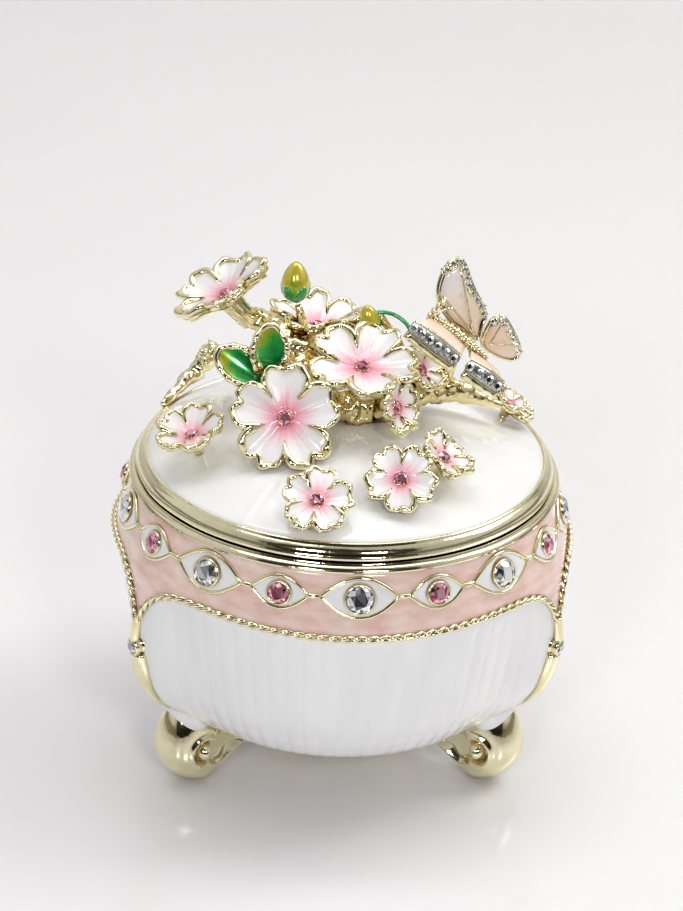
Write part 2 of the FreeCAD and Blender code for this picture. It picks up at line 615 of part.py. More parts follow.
def blossom(diameter, curve, thick, stone_diameter):
    """Blossom round +Z: the cast cup, its enamel and its stone, each with the stone's seat cut."""
    radius = diameter / 2.0
    tall = 2.0 * radius
    outline = Part.Face(petal_outline(radius)).extrude(Vector(0, 0, tall))
    outline.translate(Vector(0, 0, -thick))
    field = Part.Face(petal_outline(radius - PETAL_RIM)).extrude(Vector(0, 0, tall))
    field.translate(Vector(0, 0, -thick))
    cup = dish(radius, -thick, 0.0, curve).common(outline)
    enamel = dish(radius, -PETAL_ENAMEL, 0.0, curve).common(field)
    gem = stone(stone_diameter)
    gem.translate(Vector(0, 0, HEART_LIFT))
    boss_height = HEART_LIFT + 0.1 + thick
    boss = Part.makeCylinder(stone_diameter / 2.0 + 0.25, boss_height, Vector(0, 0, -thick))
    mouth = Part.makeCylinder(stone_diameter / 2.0, 1.0, Vector(0, 0, HEART_LIFT - 0.05))
    pit = fuse_all([gem.copy(), mouth])
    metal = fuse_all([cup, boss]).cut(enamel).cut(pit)
    enamel = enamel.cut(boss)
    return largest(metal), largest(enamel), gem


def make_branch(ground):
    """Knotty branch that carries the blossoms, with its right limb, and the beaded twig at the left."""
    limbs = [limb(route) for route in (TRUNK, RIGHT_LIMB, REAR_LIMB, BUD_STEM, TOP_STEM)]
    nodes["branch"] = largest(fuse_all(limbs).cut(ground))
    twig = []
    for index, point in enumerate(TWIG_POINTS):
        twig.append((point, TWIG_BEAD if index % 2 else TWIG_WAIST))
    nodes["beaded_twig"] = limb(twig)


def make_blossoms(ground):
    """Eleven blossoms on short stems."""
    enamel = {"large": [], "small": []}
    gems = []
    done = [ground, nodes["branch"]]
    for name, (heart, azimuth, elevation, spin, diameter, curve, stem_foot) in BLOSSOMS.items():
        big = name.endswith("large")
        thick = LARGE_CUP_THICK if big else SMALL_CUP_THICK
        metal, skin, gem = blossom(diameter, curve, thick, LARGE_STONE if big else SMALL_STONE)
        metal = aimed(metal, heart, azimuth, elevation, spin)
        facing = aimed(Part.Vertex(0, 0, 1), (0, 0, 0), azimuth, elevation).Point
        back = Vector(*heart) - facing * (thick - 0.2)
        stem = limb((((back.x, back.y, back.z), STEM_RADIUS), (stem_foot, STEM_RADIUS)))
        above = dish(diameter / 2.0, -0.5 * thick, diameter, curve)
        stem = stem.cut(aimed(above, heart, azimuth, elevation))
        casting = largest(fuse_all([metal, stem]))
        casting = largest(cut_all(casting, done))
        nodes["blossom_" + name] = casting
        skin = largest(cut_all(aimed(skin, heart, azimuth, elevation, spin), done))
        done += [casting, skin]
        enamel["large" if big else "small"].append(skin)
        gems.append(aimed(gem, heart, azimuth, elevation, spin))
    nodes["blossom_enamel_large"] = group(enamel["large"])
    nodes["blossom_enamel_small"] = group(enamel["small"])
    nodes["blossom_crystals"] = group(gems)


def leaf(length, width, thick):
    """Pointed leaf along +Y, slightly raised, round +Z."""
    left = Part.Arc(Vector(0, 0, 0), Vector(-width / 2.0, 0.55 * length, 0), Vector(0, length, 0)).toShape()
    right = Part.Arc(Vector(0, length, 0), Vector(width / 2.0, 0.55 * length, 0), Vector(0, 0, 0)).toShape()
    return Part.Face(Part.Wire([left, right])).extrude(Vector(0, 0, thick))


def placed_along(shape, root, tip, facing):
    """Turn a shape from +Y to run from root to tip, with its +Z near the facing direction."""
    along = Vector(*tip) - Vector(*root)
    along.normalize()
    up = Vector(*facing) - along * along.dot(Vector(*facing))
    up.normalize()
    side = along.cross(up)
    matrix = FreeCAD.Matrix(side.x, along.x, up.x, root[0], side.y, along.y, up.y, root[1],
                            side.z, along.z, up.z, root[2], 0, 0, 0, 1)
    return shape.transformed(matrix, copy=True)


def make_leaves():
    """Two enamelled leaves beside the front blossom and two closed buds."""
    taken = [nodes["branch"]] + [nodes["blossom_" + name] for name in BLOSSOMS]
    skins = []
    for name, (root, tip, facing, width) in LEAVES.items():
        length = (Vector(*tip) - Vector(*root)).Length
        body = leaf(length, width, LEAF_THICK)
        skin = leaf(length - 2.0 * LEAF_RIM, width - 1.8 * LEAF_RIM, LEAF_ENAMEL)
        skin.translate(Vector(0, LEAF_RIM, LEAF_THICK - LEAF_ENAMEL))
        body = body.cut(skin)
        nodes["leaf_" + name] = largest(cut_all(placed_along(body, root, tip, facing), taken))
        skins.append(placed_along(skin, root, tip, facing))
        taken.append(nodes["leaf_" + name])
    nodes["leaf_enamel"] = group(skins)
    for name, (root, tip, radius) in BUDS.items():
        length = (Vector(*tip) - Vector(*root)).Length
        outline = ((0, 0), (0.55 * radius, 0.1 * length), (radius, 0.45 * length),
                   (0.8 * radius, 0.75 * length), (0.3 * radius, 0.96 * length), (0, length))
        bud = turned(outline)
        bud.rotate(Vector(0, 0, 0), Vector(1, 0, 0), -90.0)
        nodes["bud_" + name] = largest(cut_all(placed_along(bud, root, tip, (0, -1, 0.3)), taken))


def wing_normal(corners):
    """Unit normal of the plane nearest to a wing's corners."""
    centre = Vector(0, 0, 0)
    for corner in corners:
        centre += Vector(*corner) * (1.0 / len(corners))
    normal = Vector(0, 0, 0)
    for here, there in zip(corners, corners[1:] + corners[:1]):
        normal += (Vector(*here) - centre).cross(Vector(*there) - centre)
    normal.normalize()
    return centre, normal


def wing(corners):
    """Flat wing plate: its casting and its enamel."""
    centre, normal = wing_normal(corners)
    flat = []
    for corner in corners:
        point = Vector(*corner)
        flat.append(point - normal * (point - centre).dot(normal))
    face = Part.Face(Part.makePolygon(flat + flat[:1]))
    plate = face.extrude(normal * WING_THICK)
    plate.translate(normal * (-WING_THICK / 2.0))
    inner = face.copy()
    inner.scale(WING_FIELD_SHARE, centre)
    skin = inner.extrude(normal * WING_ENAMEL)
    skin.translate(normal * (WING_THICK / 2.0 - WING_ENAMEL))
    other = inner.extrude(normal * WING_ENAMEL)
    other.translate(normal * (-WING_THICK / 2.0))
    return plate.cut([skin, other]), [skin, other], centre, normal, flat


def make_butterfly():
    """Butterfly over the right limb: body on a short post, four wings, pave stones and antennae."""
    taken = [nodes["branch"]] + [nodes["blossom_" + name] for name in BLOSSOMS]
    body = largest(cut_all(fuse_all([limb(BODY), limb(BODY_POST)]), taken))
    nodes["butterfly_body"] = body
    taken.append(body)
    skins = []
    stones = []
    for name, corners in WINGS.items():
        plate, enamel, centre, normal, flat = wing(corners)
        plate = largest(cut_all(plate, taken))
        nodes[name] = plate
        taken.append(plate)
        skins += [largest(cut_all(skin, taken[:-1])) for skin in enamel]
        first, last = (flat[corner] for corner in PAVE_EDGES[name])
        for share in (0.2, 0.5, 0.8):
            point = first + (last - first) * share
            point = point + (centre - point) * 0.16
            stones.append(Part.makeSphere(PAVE_RADIUS, point + normal * (WING_THICK / 2.0 + PAVE_LIFT)))
    nodes["wing_enamel"] = group(skins)
    nodes["pave_crystals"] = group(stones)
    nodes["antennae"] = largest(cut_all(fuse_all([limb(route) for route in FEELERS]), taken))


def turn_spray(names):
    """Turn the finished spray on the lid."""
    for name in names:
        nodes[name].rotate(Vector(0, 0, 0), Vector(0, 0, 1), SPRAY_TURN)


def write_parts():
    """Write one STEP file for each node."""
    os.makedirs("parts", exist_ok=True)
    for name, shape in nodes.items():
        print(name, "valid" if shape.isValid() else "INVALID", len(shape.Solids), round(shape.Volume, 2))
        shape.exportStep("parts/" + name + ".step")


make_base()
make_lid_shell()
plain_nodes = set(nodes)
ground = dome(0.0)
make_branch(ground)
make_blossoms(ground)
make_leaves()
make_butterfly()
turn_spray([name for name in nodes if name not in plain_nodes])
write_parts()
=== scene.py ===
import functools
import random
from math import atan2, cos, degrees, exp, floor, hypot, pi, radians, sin, sqrt, tan, tau

import bmesh
import bpy
import numpy as np
from mathutils import Matrix, Vector
from mathutils.noise import noise as space_noise


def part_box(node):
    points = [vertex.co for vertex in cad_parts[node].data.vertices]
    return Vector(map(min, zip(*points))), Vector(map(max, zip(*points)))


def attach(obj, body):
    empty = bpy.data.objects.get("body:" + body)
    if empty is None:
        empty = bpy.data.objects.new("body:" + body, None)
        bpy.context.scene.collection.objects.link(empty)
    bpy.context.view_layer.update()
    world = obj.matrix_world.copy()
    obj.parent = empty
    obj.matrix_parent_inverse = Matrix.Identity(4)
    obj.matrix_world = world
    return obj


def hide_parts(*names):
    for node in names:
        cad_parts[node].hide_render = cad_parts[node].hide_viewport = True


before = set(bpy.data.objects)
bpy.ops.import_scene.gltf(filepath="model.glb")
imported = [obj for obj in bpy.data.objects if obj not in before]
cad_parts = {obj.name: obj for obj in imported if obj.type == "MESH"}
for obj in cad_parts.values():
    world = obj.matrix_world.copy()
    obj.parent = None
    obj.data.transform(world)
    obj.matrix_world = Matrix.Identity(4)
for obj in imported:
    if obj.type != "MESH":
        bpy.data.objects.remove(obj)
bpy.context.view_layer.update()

# A footed enamelled trinket box with a jewelled band and a spray of blossoms on its lid.
# Pieces are drawn in millimetres in the part's own frame and scaled to metres when they are made.
# An azimuth is in degrees from the front (-Y) towards +X. The feet are at -60, 60 and 180.
MM = 0.001
FEET = {"right": 60.0, "left": -60.0, "rear": 180.0}
PANELS = {"front": 0.0, "right": 120.0, "left": -120.0}


# ---------------------------------------------------------------- mesh helpers
class Shape:
    """Vertices in mm and faces, collected from several patches, with one tint value for each vertex."""

    def __init__(self):
        self.points = []
        self.faces = []
        self.tints = []

    def add(self, points, faces, tint=0.0):
        start = len(self.points)
        self.points += [tuple(map(float, point)) for point in points]
        self.faces += [tuple(start + index for index in face) for face in faces]
        self.tints += tint if isinstance(tint, list) else [tint] * len(points)

    def grid(self, rows, around=True, along=False, caps=False, tint=None):
        """Patch through equal rows of points, closed round the rows or along them where asked."""
        count = len(rows)
        width = len(rows[0])
        faces = []
        for i in range(count if along else count - 1):
            for j in range(width if around else width - 1):
                k = (i + 1) % count
                m = (j + 1) % width
                faces.append((i * width + j, i * width + m, k * width + m, k * width + j))
        if caps:
            faces.append(tuple(reversed(range(width))))
            faces.append(tuple((count - 1) * width + j for j in range(width)))
        tints = [value for row in tint for value in row] if tint else 0.0
        self.add([point for row in rows for point in row], faces, tints)


def make_piece(name, shape, material, body, nodes=(), flat=False):
    """Turn a shape into an object that rides on a body and may stand for CAD nodes."""
    mesh = bpy.data.meshes.new(name)
    mesh.from_pydata([tuple(c * MM for c in point) for point in shape.points], [], shape.faces)
    tint = mesh.attributes.new("tint", "FLOAT", "POINT")
    tint.data.foreach_set("value", np.array(shape.tints, dtype=np.float32))
    mesh.validate()
    mesh.update()
    work = bmesh.new()
    work.from_mesh(mesh)
    bmesh.ops.recalc_face_normals(work, faces=work.faces)
    work.to_mesh(mesh)
    work.free()
    mesh.polygons.foreach_set("use_smooth", [not flat] * len(mesh.polygons))
    mesh.materials.append(material)
    piece = bpy.data.objects.new(name, mesh)
    bpy.context.scene.collection.objects.link(piece)
    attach(piece, body)
    if nodes:
        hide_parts(*nodes)
    return piece


def sharpen(piece, limit):
    """Keep edges sharper than the angle crisp."""
    with bpy.context.temp_override(object=piece, active_object=piece, selected_editable_objects=[piece]):
        bpy.ops.object.shade_smooth_by_angle(angle=radians(limit))


def polar(azimuth, radius, z):
    """Point at an azimuth, a radius and a height, in mm."""
    angle = radians(azimuth)
    return np.array([radius * sin(angle), -radius * cos(angle), z])


def unit(vector):
    """The vector at length 1."""
    vector = np.asarray(vector, float)
    return vector / np.linalg.norm(vector)


def circle(count, offset=0.0):
    """Angles of places spaced evenly round a circle."""
    return [tau * (k + offset) / count for k in range(count)]


def clamp(value):
    """The value kept between 0 and 1."""
    return min(1.0, max(0.0, value))


def catmull(a, b, c, d, t):
    """Catmull-Rom curve from b to c."""
    return 0.5 * (2 * b + (c - a) * t + (2 * a - 5 * b + 4 * c - d) * t * t
                  + (3 * b - a - 3 * c + d) * t ** 3)


def smooth_curve(points, steps, closed=False):
    """Catmull-Rom curve through the points, a fixed number of steps for each span."""
    points = [np.asarray(point, float) for point in points]
    count = len(points)
    if closed:
        points = points[-1:] + points + points[:2]
    else:
        points = [2 * points[0] - points[1]] + points + [2 * points[-1] - points[-2]]
    curve = [catmull(*points[index:index + 4], step / steps)
             for index in range(count if closed else count - 1) for step in range(steps)]
    return curve if closed else curve + [points[-2]]


def frames(path, closed=False, up=None):
    """Side and normal vectors along a path, carried forward without twist or kept near the given ups."""
    count = len(path)
    result = []
    normal = None
    for index in range(count):
        if closed:
            along = unit(path[(index + 1) % count] - path[index - 1])
        else:
            along = unit(path[min(index + 1, count - 1)] - path[max(index - 1, 0)])
        if up is not None:
            normal = np.asarray(up[index], float)
        elif normal is None:
            normal = np.array([0.0, 0.0, 1.0]) if abs(along[2]) < 0.9 else np.array([1.0, 0.0, 0.0])
        normal = unit(normal - along * np.dot(normal, along))
        result.append((np.cross(along, normal), normal))
    return result


def tube(shape, path, radius, sides=8, closed=False, up=None, flatten=1.0, tint=0.0):
    """Round or flattened tube along a path. The radius is a number or a list with one for each point."""
    count = len(path)
    radii = radius if isinstance(radius, list) else [radius] * count
    rows = []
    for (side, normal), point, size in zip(frames(path, closed, up), path, radii):
        rows.append([point + side * (size * cos(turn)) + normal * (flatten * size * sin(turn))
                     for turn in circle(sides)])
    shape.grid(rows, along=closed, caps=not closed, tint=[[tint] * sides] * count)


def lathe(shape, profile, segments, wobble=None):
    """Ring turned about Z from a closed profile of (radius, height) points."""
    rows = []
    for index in range(segments):
        azimuth = 360.0 * index / segments
        shift = wobble(azimuth) if wobble else 0.0
        rows.append([polar(azimuth, radius + shift, z) for radius, z in profile])
    shape.grid(rows, along=True)


def turned(shape, centre, axis, profile, segments):
    """Ring turned about an axis from a closed profile of (radius, height) points."""
    right, up, out = axes_facing(axis)
    shape.grid([[centre + (right * cos(turn) + up * sin(turn)) * radius + out * height
                 for radius, height in profile] for turn in circle(segments)], along=True)


def bead(shape, centre, radii, axes=np.eye(3), rings=6, segments=10):
    """Ellipsoid with its poles on the third axis."""
    points = [centre + axes[2] * radii[2]]
    for i in range(1, rings):
        fall = pi * i / rings
        points += [centre + axes[0] * (radii[0] * sin(fall) * cos(turn))
                   + axes[1] * (radii[1] * sin(fall) * sin(turn))
                   + axes[2] * (radii[2] * cos(fall)) for turn in circle(segments)]
    points.append(centre - axes[2] * radii[2])
    last = len(points) - 1
    base = last - segments
    pairs = [(j, (j + 1) % segments) for j in range(segments)]
    faces = [(0, 1 + j, 1 + after) for j, after in pairs]
    faces += [(start + j, start + segments + j, start + segments + after, start + after)
              for start in range(1, base, segments) for j, after in pairs]
    faces += [(last, base + after, base + j) for j, after in pairs]
    shape.add(points, faces)


def axes_facing(normal):
    """Right, up and out axes for something that faces along the normal."""
    out = unit(normal)
    guide = np.array([0.0, 0.0, 1.0])
    if abs(np.dot(out, guide)) > 0.98:
        guide = np.array([0.0, 1.0, 0.0])
    right = unit(np.cross(guide, out))
    return right, np.cross(out, right), out


# ---------------------------------------------------------------- what the frame says
SAME_HEIGHT = 0.02


def node_points(node):
    """A CAD node's distinct vertices in mm."""
    points = np.array([vertex.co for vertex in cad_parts[node].data.vertices]) / MM
    return np.unique(points.round(4), axis=0)


@functools.lru_cache(maxsize=None)
def islands(node):
    """The separate solids of a CAD node, each as its distinct vertices in mm."""
    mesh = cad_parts[node].data
    points = (np.array([vertex.co for vertex in mesh.vertices]) / MM).round(3)
    distinct, index = np.unique(points, axis=0, return_inverse=True)
    index = index.reshape(-1)
    parent = list(range(len(distinct)))

    def find(item):
        while parent[item] != item:
            parent[item] = parent[parent[item]]
            item = parent[item]
        return item

    for polygon in mesh.polygons:
        corners = [find(index[vertex]) for vertex in polygon.vertices]
        for corner in corners[1:]:
            parent[find(corner)] = find(corners[0])
    groups = {}
    for item in range(len(distinct)):
        groups.setdefault(find(item), []).append(distinct[item])
    return [np.array(group) for group in groups.values()]


@functools.lru_cache(maxsize=None)
def stone_seats(node):
    """Seats of all the stones of a CAD node."""
    return [stone_seat(solid) for solid in islands(node)]


def nearest_seat(node, point):
    """Seat of the stone of a node that is closest to a point."""
    return min(stone_seats(node), key=lambda seat: np.linalg.norm(seat[0] - point))


def stone_seat(points):
    """Girdle centre, outward axis and radius of a set stone: its table is the end with more corners."""
    middle = (points.min(0) + points.max(0)) / 2.0
    values, vectors = np.linalg.eigh(np.cov((points - points.mean(0)).T))
    gaps = [abs(values[1] - values[2]), abs(values[0] - values[2]), abs(values[0] - values[1])]
    axis = vectors[:, int(np.argmin(gaps))]
    heights = (points - middle) @ axis
    high = (heights > heights.max() - SAME_HEIGHT).sum()
    low = (heights < heights.min() + SAME_HEIGHT).sum()
    if low > high:
        axis = -axis
    foot = points[np.argmin((points - middle) @ axis)]
    away = points - foot
    along = away @ axis
    radial = np.linalg.norm(away - np.outer(along, axis), axis=1)
    radius = radial.max()
    girdle = along[radial > radius - SAME_HEIGHT].max()
    return foot + axis * girdle, axis, radius


# ---------------------------------------------------------------- materials
class Graph:
    """Adds nodes to a material's or a world's tree and links them."""

    def __init__(self, tree):
        self.tree = tree

    def feed(self, node, **inputs):
        """Set inputs, each to a value or from the socket that feeds it."""
        for key, value in inputs.items():
            socket = node.inputs[key.replace("_", " ")]
            if isinstance(value, bpy.types.NodeSocket):
                self.tree.links.new(value, socket)
            else:
                socket.default_value = value

    def add(self, kind, settings=None, **inputs):
        node = self.tree.nodes.new("ShaderNode" + kind)
        for key, value in (settings or {}).items():
            setattr(node, key, value)
        self.feed(node, **inputs)
        return node

    def place(self, stretch=(1.0, 1.0, 1.0)):
        """Object coordinates, stretched."""
        source = self.add("TexCoord").outputs["Object"]
        return self.add("Mapping", Scale=stretch, Vector=source).outputs["Vector"]

    def noise(self, vector, scale, detail=3.0, roughness=0.5):
        node = self.add("TexNoise", Vector=vector, Scale=scale, Detail=detail, Roughness=roughness)
        return node.outputs["Fac"]

    def ramp(self, source, *stops):
        """Colour ramp with (position, colour) stops."""
        node = self.add("ValToRGB", Fac=source)
        elements = node.color_ramp.elements
        while len(elements) < len(stops):
            elements.new(0.5)
        for element, (position, colour) in zip(elements, stops):
            element.position = position
            element.color = (*colour, 1.0)
        return node.outputs["Color"]

    def multiply(self, first, second):
        settings = {"data_type": "RGBA", "blend_type": "MULTIPLY"}
        return self.add("Mix", settings, Factor=1.0, A=first, B=second).outputs["Result"]

    def rough_map(self, shader, source, low, high):
        """Roughness that wanders between two values."""
        node = self.add("MapRange", To_Min=low, To_Max=high, Value=source)
        self.feed(shader, Roughness=node.outputs["Result"])

    def bump(self, shader, source, strength, depth):
        """Relief of a depth in mm."""
        node = self.add("Bump", Strength=strength, Distance=depth * MM, Height=source)
        self.feed(shader, Normal=node.outputs["Normal"])


def new_material(name, **inputs):
    """Principled material with the given inputs set on the shader itself."""
    material = bpy.data.materials.new(name)
    material.use_nodes = True
    graph = Graph(material.node_tree)
    shader = material.node_tree.nodes["Principled BSDF"]
    graph.feed(shader, **inputs)
    return material, graph, shader


# Reach of the painted shade in the gold's recesses, in mm.
PAINTED_SHADE_REACH = 2.2


def gold_material(name, bright, painted_shade_colour, roughness, grain, relief):
    """Pale gold plating with painted shade: its colour darkens in the recesses, with a slightly uneven cast
    surface.
    """
    material, graph, shader = new_material(name, Metallic=1.0)
    place = graph.place()
    broad = graph.noise(place, grain)
    # Painted shade: ambient occlusion moves the base colour towards the painted shade colour in recesses and
    # corners.
    shade = graph.add("AmbientOcclusion", {"samples": 6}, Distance=PAINTED_SHADE_REACH * MM)
    tone = graph.ramp(shade.outputs["AO"], (0.25, painted_shade_colour), (0.8, bright))
    wear = graph.ramp(broad, (0.3, (0.93, 0.91, 0.86)), (0.7, (1.0, 1.0, 1.0)))
    graph.feed(shader, Base_Color=graph.multiply(tone, wear))
    graph.rough_map(shader, broad, *roughness)
    graph.bump(shader, graph.noise(place, grain * 2.2, detail=2.0), 0.5, relief)
    return material


def enamel_material(name, light, dark, grain, stretch=(1.0, 1.0, 1.0), roughness=(0.06, 0.14), coat=0.6):
    """Glossy enamel with a faint drift of colour and slightly wavy gloss."""
    material, graph, shader = new_material(name, Coat_Weight=coat, Coat_Roughness=0.03)
    place = graph.place(stretch)
    cloud = graph.noise(place, grain, detail=4.0)
    graph.feed(shader, Base_Color=graph.ramp(cloud, (0.32, dark), (0.68, light)))
    graph.rough_map(shader, cloud, *roughness)
    graph.bump(shader, graph.noise(place, grain * 0.7, detail=1.0), 0.35, 0.02)
    return material


def tinted_enamel(name, stops, grain, streak, coat=0.7, metallic=0.0, roughness=(0.08, 0.18)):
    """Enamel whose colour follows the piece's tint value, broken up by fine streaks."""
    material, graph, shader = new_material(name, Coat_Weight=coat, Coat_Roughness=0.04, Metallic=metallic)
    cloud = graph.noise(graph.place(), grain, detail=5.0, roughness=0.6)
    tint = graph.add("Attribute", {"attribute_name": "tint"})
    drift = graph.add("Math", {"operation": "MULTIPLY_ADD"})
    for socket, value in zip(drift.inputs, (cloud, streak, tint.outputs["Fac"])):
        if isinstance(value, float):
            socket.default_value = value
        else:
            graph.tree.links.new(value, socket)
    shift = graph.add("Math", {"operation": "SUBTRACT"}, Value=drift.outputs["Value"])
    shift.inputs[1].default_value = streak / 2.0
    graph.feed(shader, Base_Color=graph.ramp(shift.outputs["Value"], *stops))
    graph.rough_map(shader, cloud, *roughness)
    graph.bump(shader, cloud, 0.3, 0.03)
    return material


def crystal_material(name, *stops):
    """Foiled crystal with painted sparkle: each facet gets a random painted brightness, from a dark painted
    reflection to a bright painted glint.
    """
    material, graph, shader = new_material(name, Metallic=0.8, Coat_Weight=1.0, Coat_Roughness=0.0, IOR=1.7)
    facet = graph.add("NewGeometry").outputs["True Normal"]
    spread = graph.add("VectorMath", {"operation": "SCALE"}, Vector=facet, Scale=7.0)
    # Painted glints and reflections: a random value from each facet's normal sets how bright its painted
    # colour is.
    facet_glint = graph.add("TexWhiteNoise", Vector=spread.outputs["Vector"]).outputs["Value"]
    graph.feed(shader, Base_Color=graph.ramp(facet_glint, *stops))
    graph.rough_map(shader, facet_glint, 0.02, 0.1)
    return material


# The second colour of each gold is the painted shade of its recesses.
RIM_GOLD = gold_material("rim_gold", (0.96, 0.90, 0.64), (0.48, 0.33, 0.12), (0.05, 0.12), 330.0, 0.07)
GOLD = gold_material("gold_plate", (0.98, 0.92, 0.64), (0.48, 0.33, 0.12), (0.06, 0.14), 500.0, 0.04)
CAST_GOLD = gold_material("gold_cast", (0.96, 0.89, 0.60), (0.46, 0.30, 0.10), (0.07, 0.17), 700.0, 0.09)
BARK_GOLD = gold_material("gold_bark", (0.94, 0.81, 0.47), (0.46, 0.25, 0.06), (0.09, 0.22), 800.0, 0.13)
STEEL = gold_material("dark_setting", (0.42, 0.43, 0.42), (0.16, 0.15, 0.14), (0.12, 0.3), 900.0, 0.08)
WHITE = enamel_material("white_enamel", (0.93, 0.93, 0.94), (0.88, 0.88, 0.90), 260.0, (1.0, 1.0, 0.25))
DOME_WHITE = enamel_material("dome_enamel", (0.94, 0.94, 0.93), (0.90, 0.90, 0.90), 120.0)
PEARL_PINK = enamel_material("pearl_pink_enamel", (0.98, 0.79, 0.72), (0.84, 0.55, 0.48), 240.0,
                             (1.0, 1.0, 2.6), roughness=(0.12, 0.26), coat=0.9)
BLOSSOM = tinted_enamel(
    "blossom_enamel", ((0.13, (0.88, 0.22, 0.34)), (0.26, (0.95, 0.40, 0.50)), (0.38, (0.97, 0.60, 0.68)),
                       (0.54, (0.97, 0.84, 0.87)), (0.7, (0.96, 0.95, 0.96))), 1500.0, 0.16, coat=0.45)
LEAF = tinted_enamel(
    "leaf_enamel", ((0.0, (0.0, 0.14, 0.03)), (0.25, (0.01, 0.34, 0.07)), (0.48, (0.05, 0.46, 0.06)),
                    (0.66, (0.36, 0.46, 0.03)), (0.82, (0.62, 0.52, 0.04)), (1.0, (0.66, 0.54, 0.07))),
    800.0, 0.6, coat=1.0, metallic=0.35, roughness=(0.12, 0.3))
WING = tinted_enamel(
    "wing_enamel", ((0.0, (0.93, 0.60, 0.42)), (0.45, (0.95, 0.76, 0.62)), (0.9, (0.90, 0.90, 0.90))),
    900.0, 0.35)
# Crystal stops run from dark painted reflections to white painted glints; the pink stone's hue is its own
# colour.
CLEAR_STONE = crystal_material("clear_crystal", (0.1, (0.06, 0.065, 0.08)), (0.3, (0.40, 0.42, 0.47)),
                               (0.5, (0.80, 0.83, 0.88)), (0.75, (1.0, 1.0, 1.0)))
PINK_STONE = crystal_material("pink_crystal", (0.1, (0.22, 0.03, 0.07)), (0.35, (0.55, 0.10, 0.19)),
                              (0.6, (0.85, 0.30, 0.43)), (0.9, (0.98, 0.62, 0.72)))


# ---------------------------------------------------------------- bowl surface
# Height, radius between the feet and radius over the feet, in mm.
BOWL_SECTIONS = np.array([
    (8.3, 15.0, 15.0), (8.9, 18.8, 18.8), (10.0, 22.6, 22.8), (12.0, 26.2, 27.4), (13.6, 27.8, 29.8),
    (15.5, 29.1, 31.8), (18.6, 30.6, 33.7), (21.4, 31.4, 34.6), (25.0, 32.1, 35.2), (29.0, 32.8, 35.4),
    (33.0, 33.4, 35.2), (37.0, 34.0, 34.8), (40.0, 33.2, 33.7), (42.3, 32.5, 32.8), (45.7, 31.6, 31.6),
])
BAND_Z = 42.3
SEAM_Z = 47.1
BORDER_HIGH_Z = 37.5
BULGE_WIDTH = 10.5
TIP_DROP = 7.9
TIP_WIDTH = 4.6
BORDER_SAG = 0.9


def past_middle(azimuth):
    """Angle from the middle of the panel that an azimuth falls on, from -60 to 60."""
    return (azimuth + 60.0) % 120.0 - 60.0


def bulge(azimuth):
    """0 between the feet, 1 over a foot."""
    from_foot = 60.0 - abs(past_middle(azimuth))
    return exp(-(from_foot / BULGE_WIDTH) ** 2)


def bowl_radius(azimuth, z):
    """Radius of the bowl's enamelled surface."""
    heights = BOWL_SECTIONS[:, 0]
    z = min(max(z, heights[0]), heights[-1])
    index = int(min(max(np.searchsorted(heights, z) - 1, 0), len(heights) - 2))
    share = (z - heights[index]) / (heights[index + 1] - heights[index])
    rows = [BOWL_SECTIONS[min(max(index + k, 0), len(heights) - 1), 1:] for k in (-1, 0, 1, 2)]
    between, over = catmull(*rows, share)
    return between + (over - between) * bulge(azimuth)


def bowl_point(azimuth, z, lift=0.0):
    """Point on the bowl's surface, lifted along its normal."""
    base = polar(azimuth, bowl_radius(azimuth, z), z)
    return base + bowl_normal(azimuth, z) * lift if lift else base


def bowl_normal(azimuth, z):
    """Outward normal of the bowl, from points a small step away in degrees and in mm."""
    step = 0.2
    around = bowl_point(azimuth + step, z) - bowl_point(azimuth - step, z)
    up = bowl_point(azimuth, z + step) - bowl_point(azimuth, z - step)
    return unit(np.cross(around, up))


def border_z(azimuth):
    """Height of the line where the pink collar ends and the white panels begin."""
    local = past_middle(azimuth)
    from_foot = 60.0 - abs(local)
    drop = TIP_DROP * exp(-from_foot / TIP_WIDTH)
    return BORDER_HIGH_Z - drop - BORDER_SAG * cos(radians(1.5 * local)) ** 2


# ---------------------------------------------------------------- base
RIBS_PER_PANEL = 27
RIB_DEPTH = 0.13
SKIN = 1.1


def rib(azimuth, share):
    """Soft flutes that run down a panel and die out at its top edge and at its underside."""
    phase = abs(sin(pi * RIBS_PER_PANEL * azimuth / 120.0))
    off_middle = abs(past_middle(azimuth))
    fade = min(1.0, share / 0.06) * min(1.0, max(0.0, 1.0 - share) / 0.25)
    fade *= 1.0 - 0.6 * clamp((off_middle - 30.0) / 20.0)
    return RIB_DEPTH * (phase ** 0.7 - 0.5) * fade


def skin_loop(azimuth, heights, lifts):
    """Closed loop of an enamel skin, down its outside at the given heights and back up its inside."""
    outside = [bowl_point(azimuth, z, lift) for z, lift in zip(heights, lifts)]
    inside = [polar(azimuth, bowl_radius(azimuth, z) - SKIN, z) for z in heights]
    return outside + inside[::-1]


def make_panels():
    """White ribbed enamel of the three panels, each a closed skin."""
    columns = 324
    rows = 44
    edge = 0.35
    bottom_z = BOWL_SECTIONS[0, 0]
    shares = [i / rows for i in range(rows + 1)]
    for side, middle in PANELS.items():
        loops = []
        for j in range(columns + 1):
            local = -60.0 + edge + (120.0 - 2 * edge) * j / columns
            azimuth = middle + local
            top = border_z(azimuth)
            heights = [top + (bottom_z - top) * share ** 0.9 for share in shares]
            loops.append(skin_loop(azimuth, heights, [rib(azimuth, share) for share in shares]))
        shape = Shape()
        shape.grid(loops, caps=True)
        make_piece("panel_" + side, shape, WHITE, "base", ["panel_enamel_" + side])


def make_collar():
    """Pearly pink enamel collar, a closed skin from the mouth rim down to the border."""
    columns = 480
    rows = 14
    loops = []
    top = BOWL_SECTIONS[-1, 0]
    for j in range(columns):
        azimuth = 360.0 * j / columns
        low = border_z(azimuth)
        heights = [top + (low - top) * i / rows for i in range(rows + 1)]
        loops.append(skin_loop(azimuth, heights, [0.0] * len(heights)))
    shape = Shape()
    shape.grid(loops, along=True)
    make_piece("collar", shape, PEARL_PINK, "base", ["collar_enamel"])


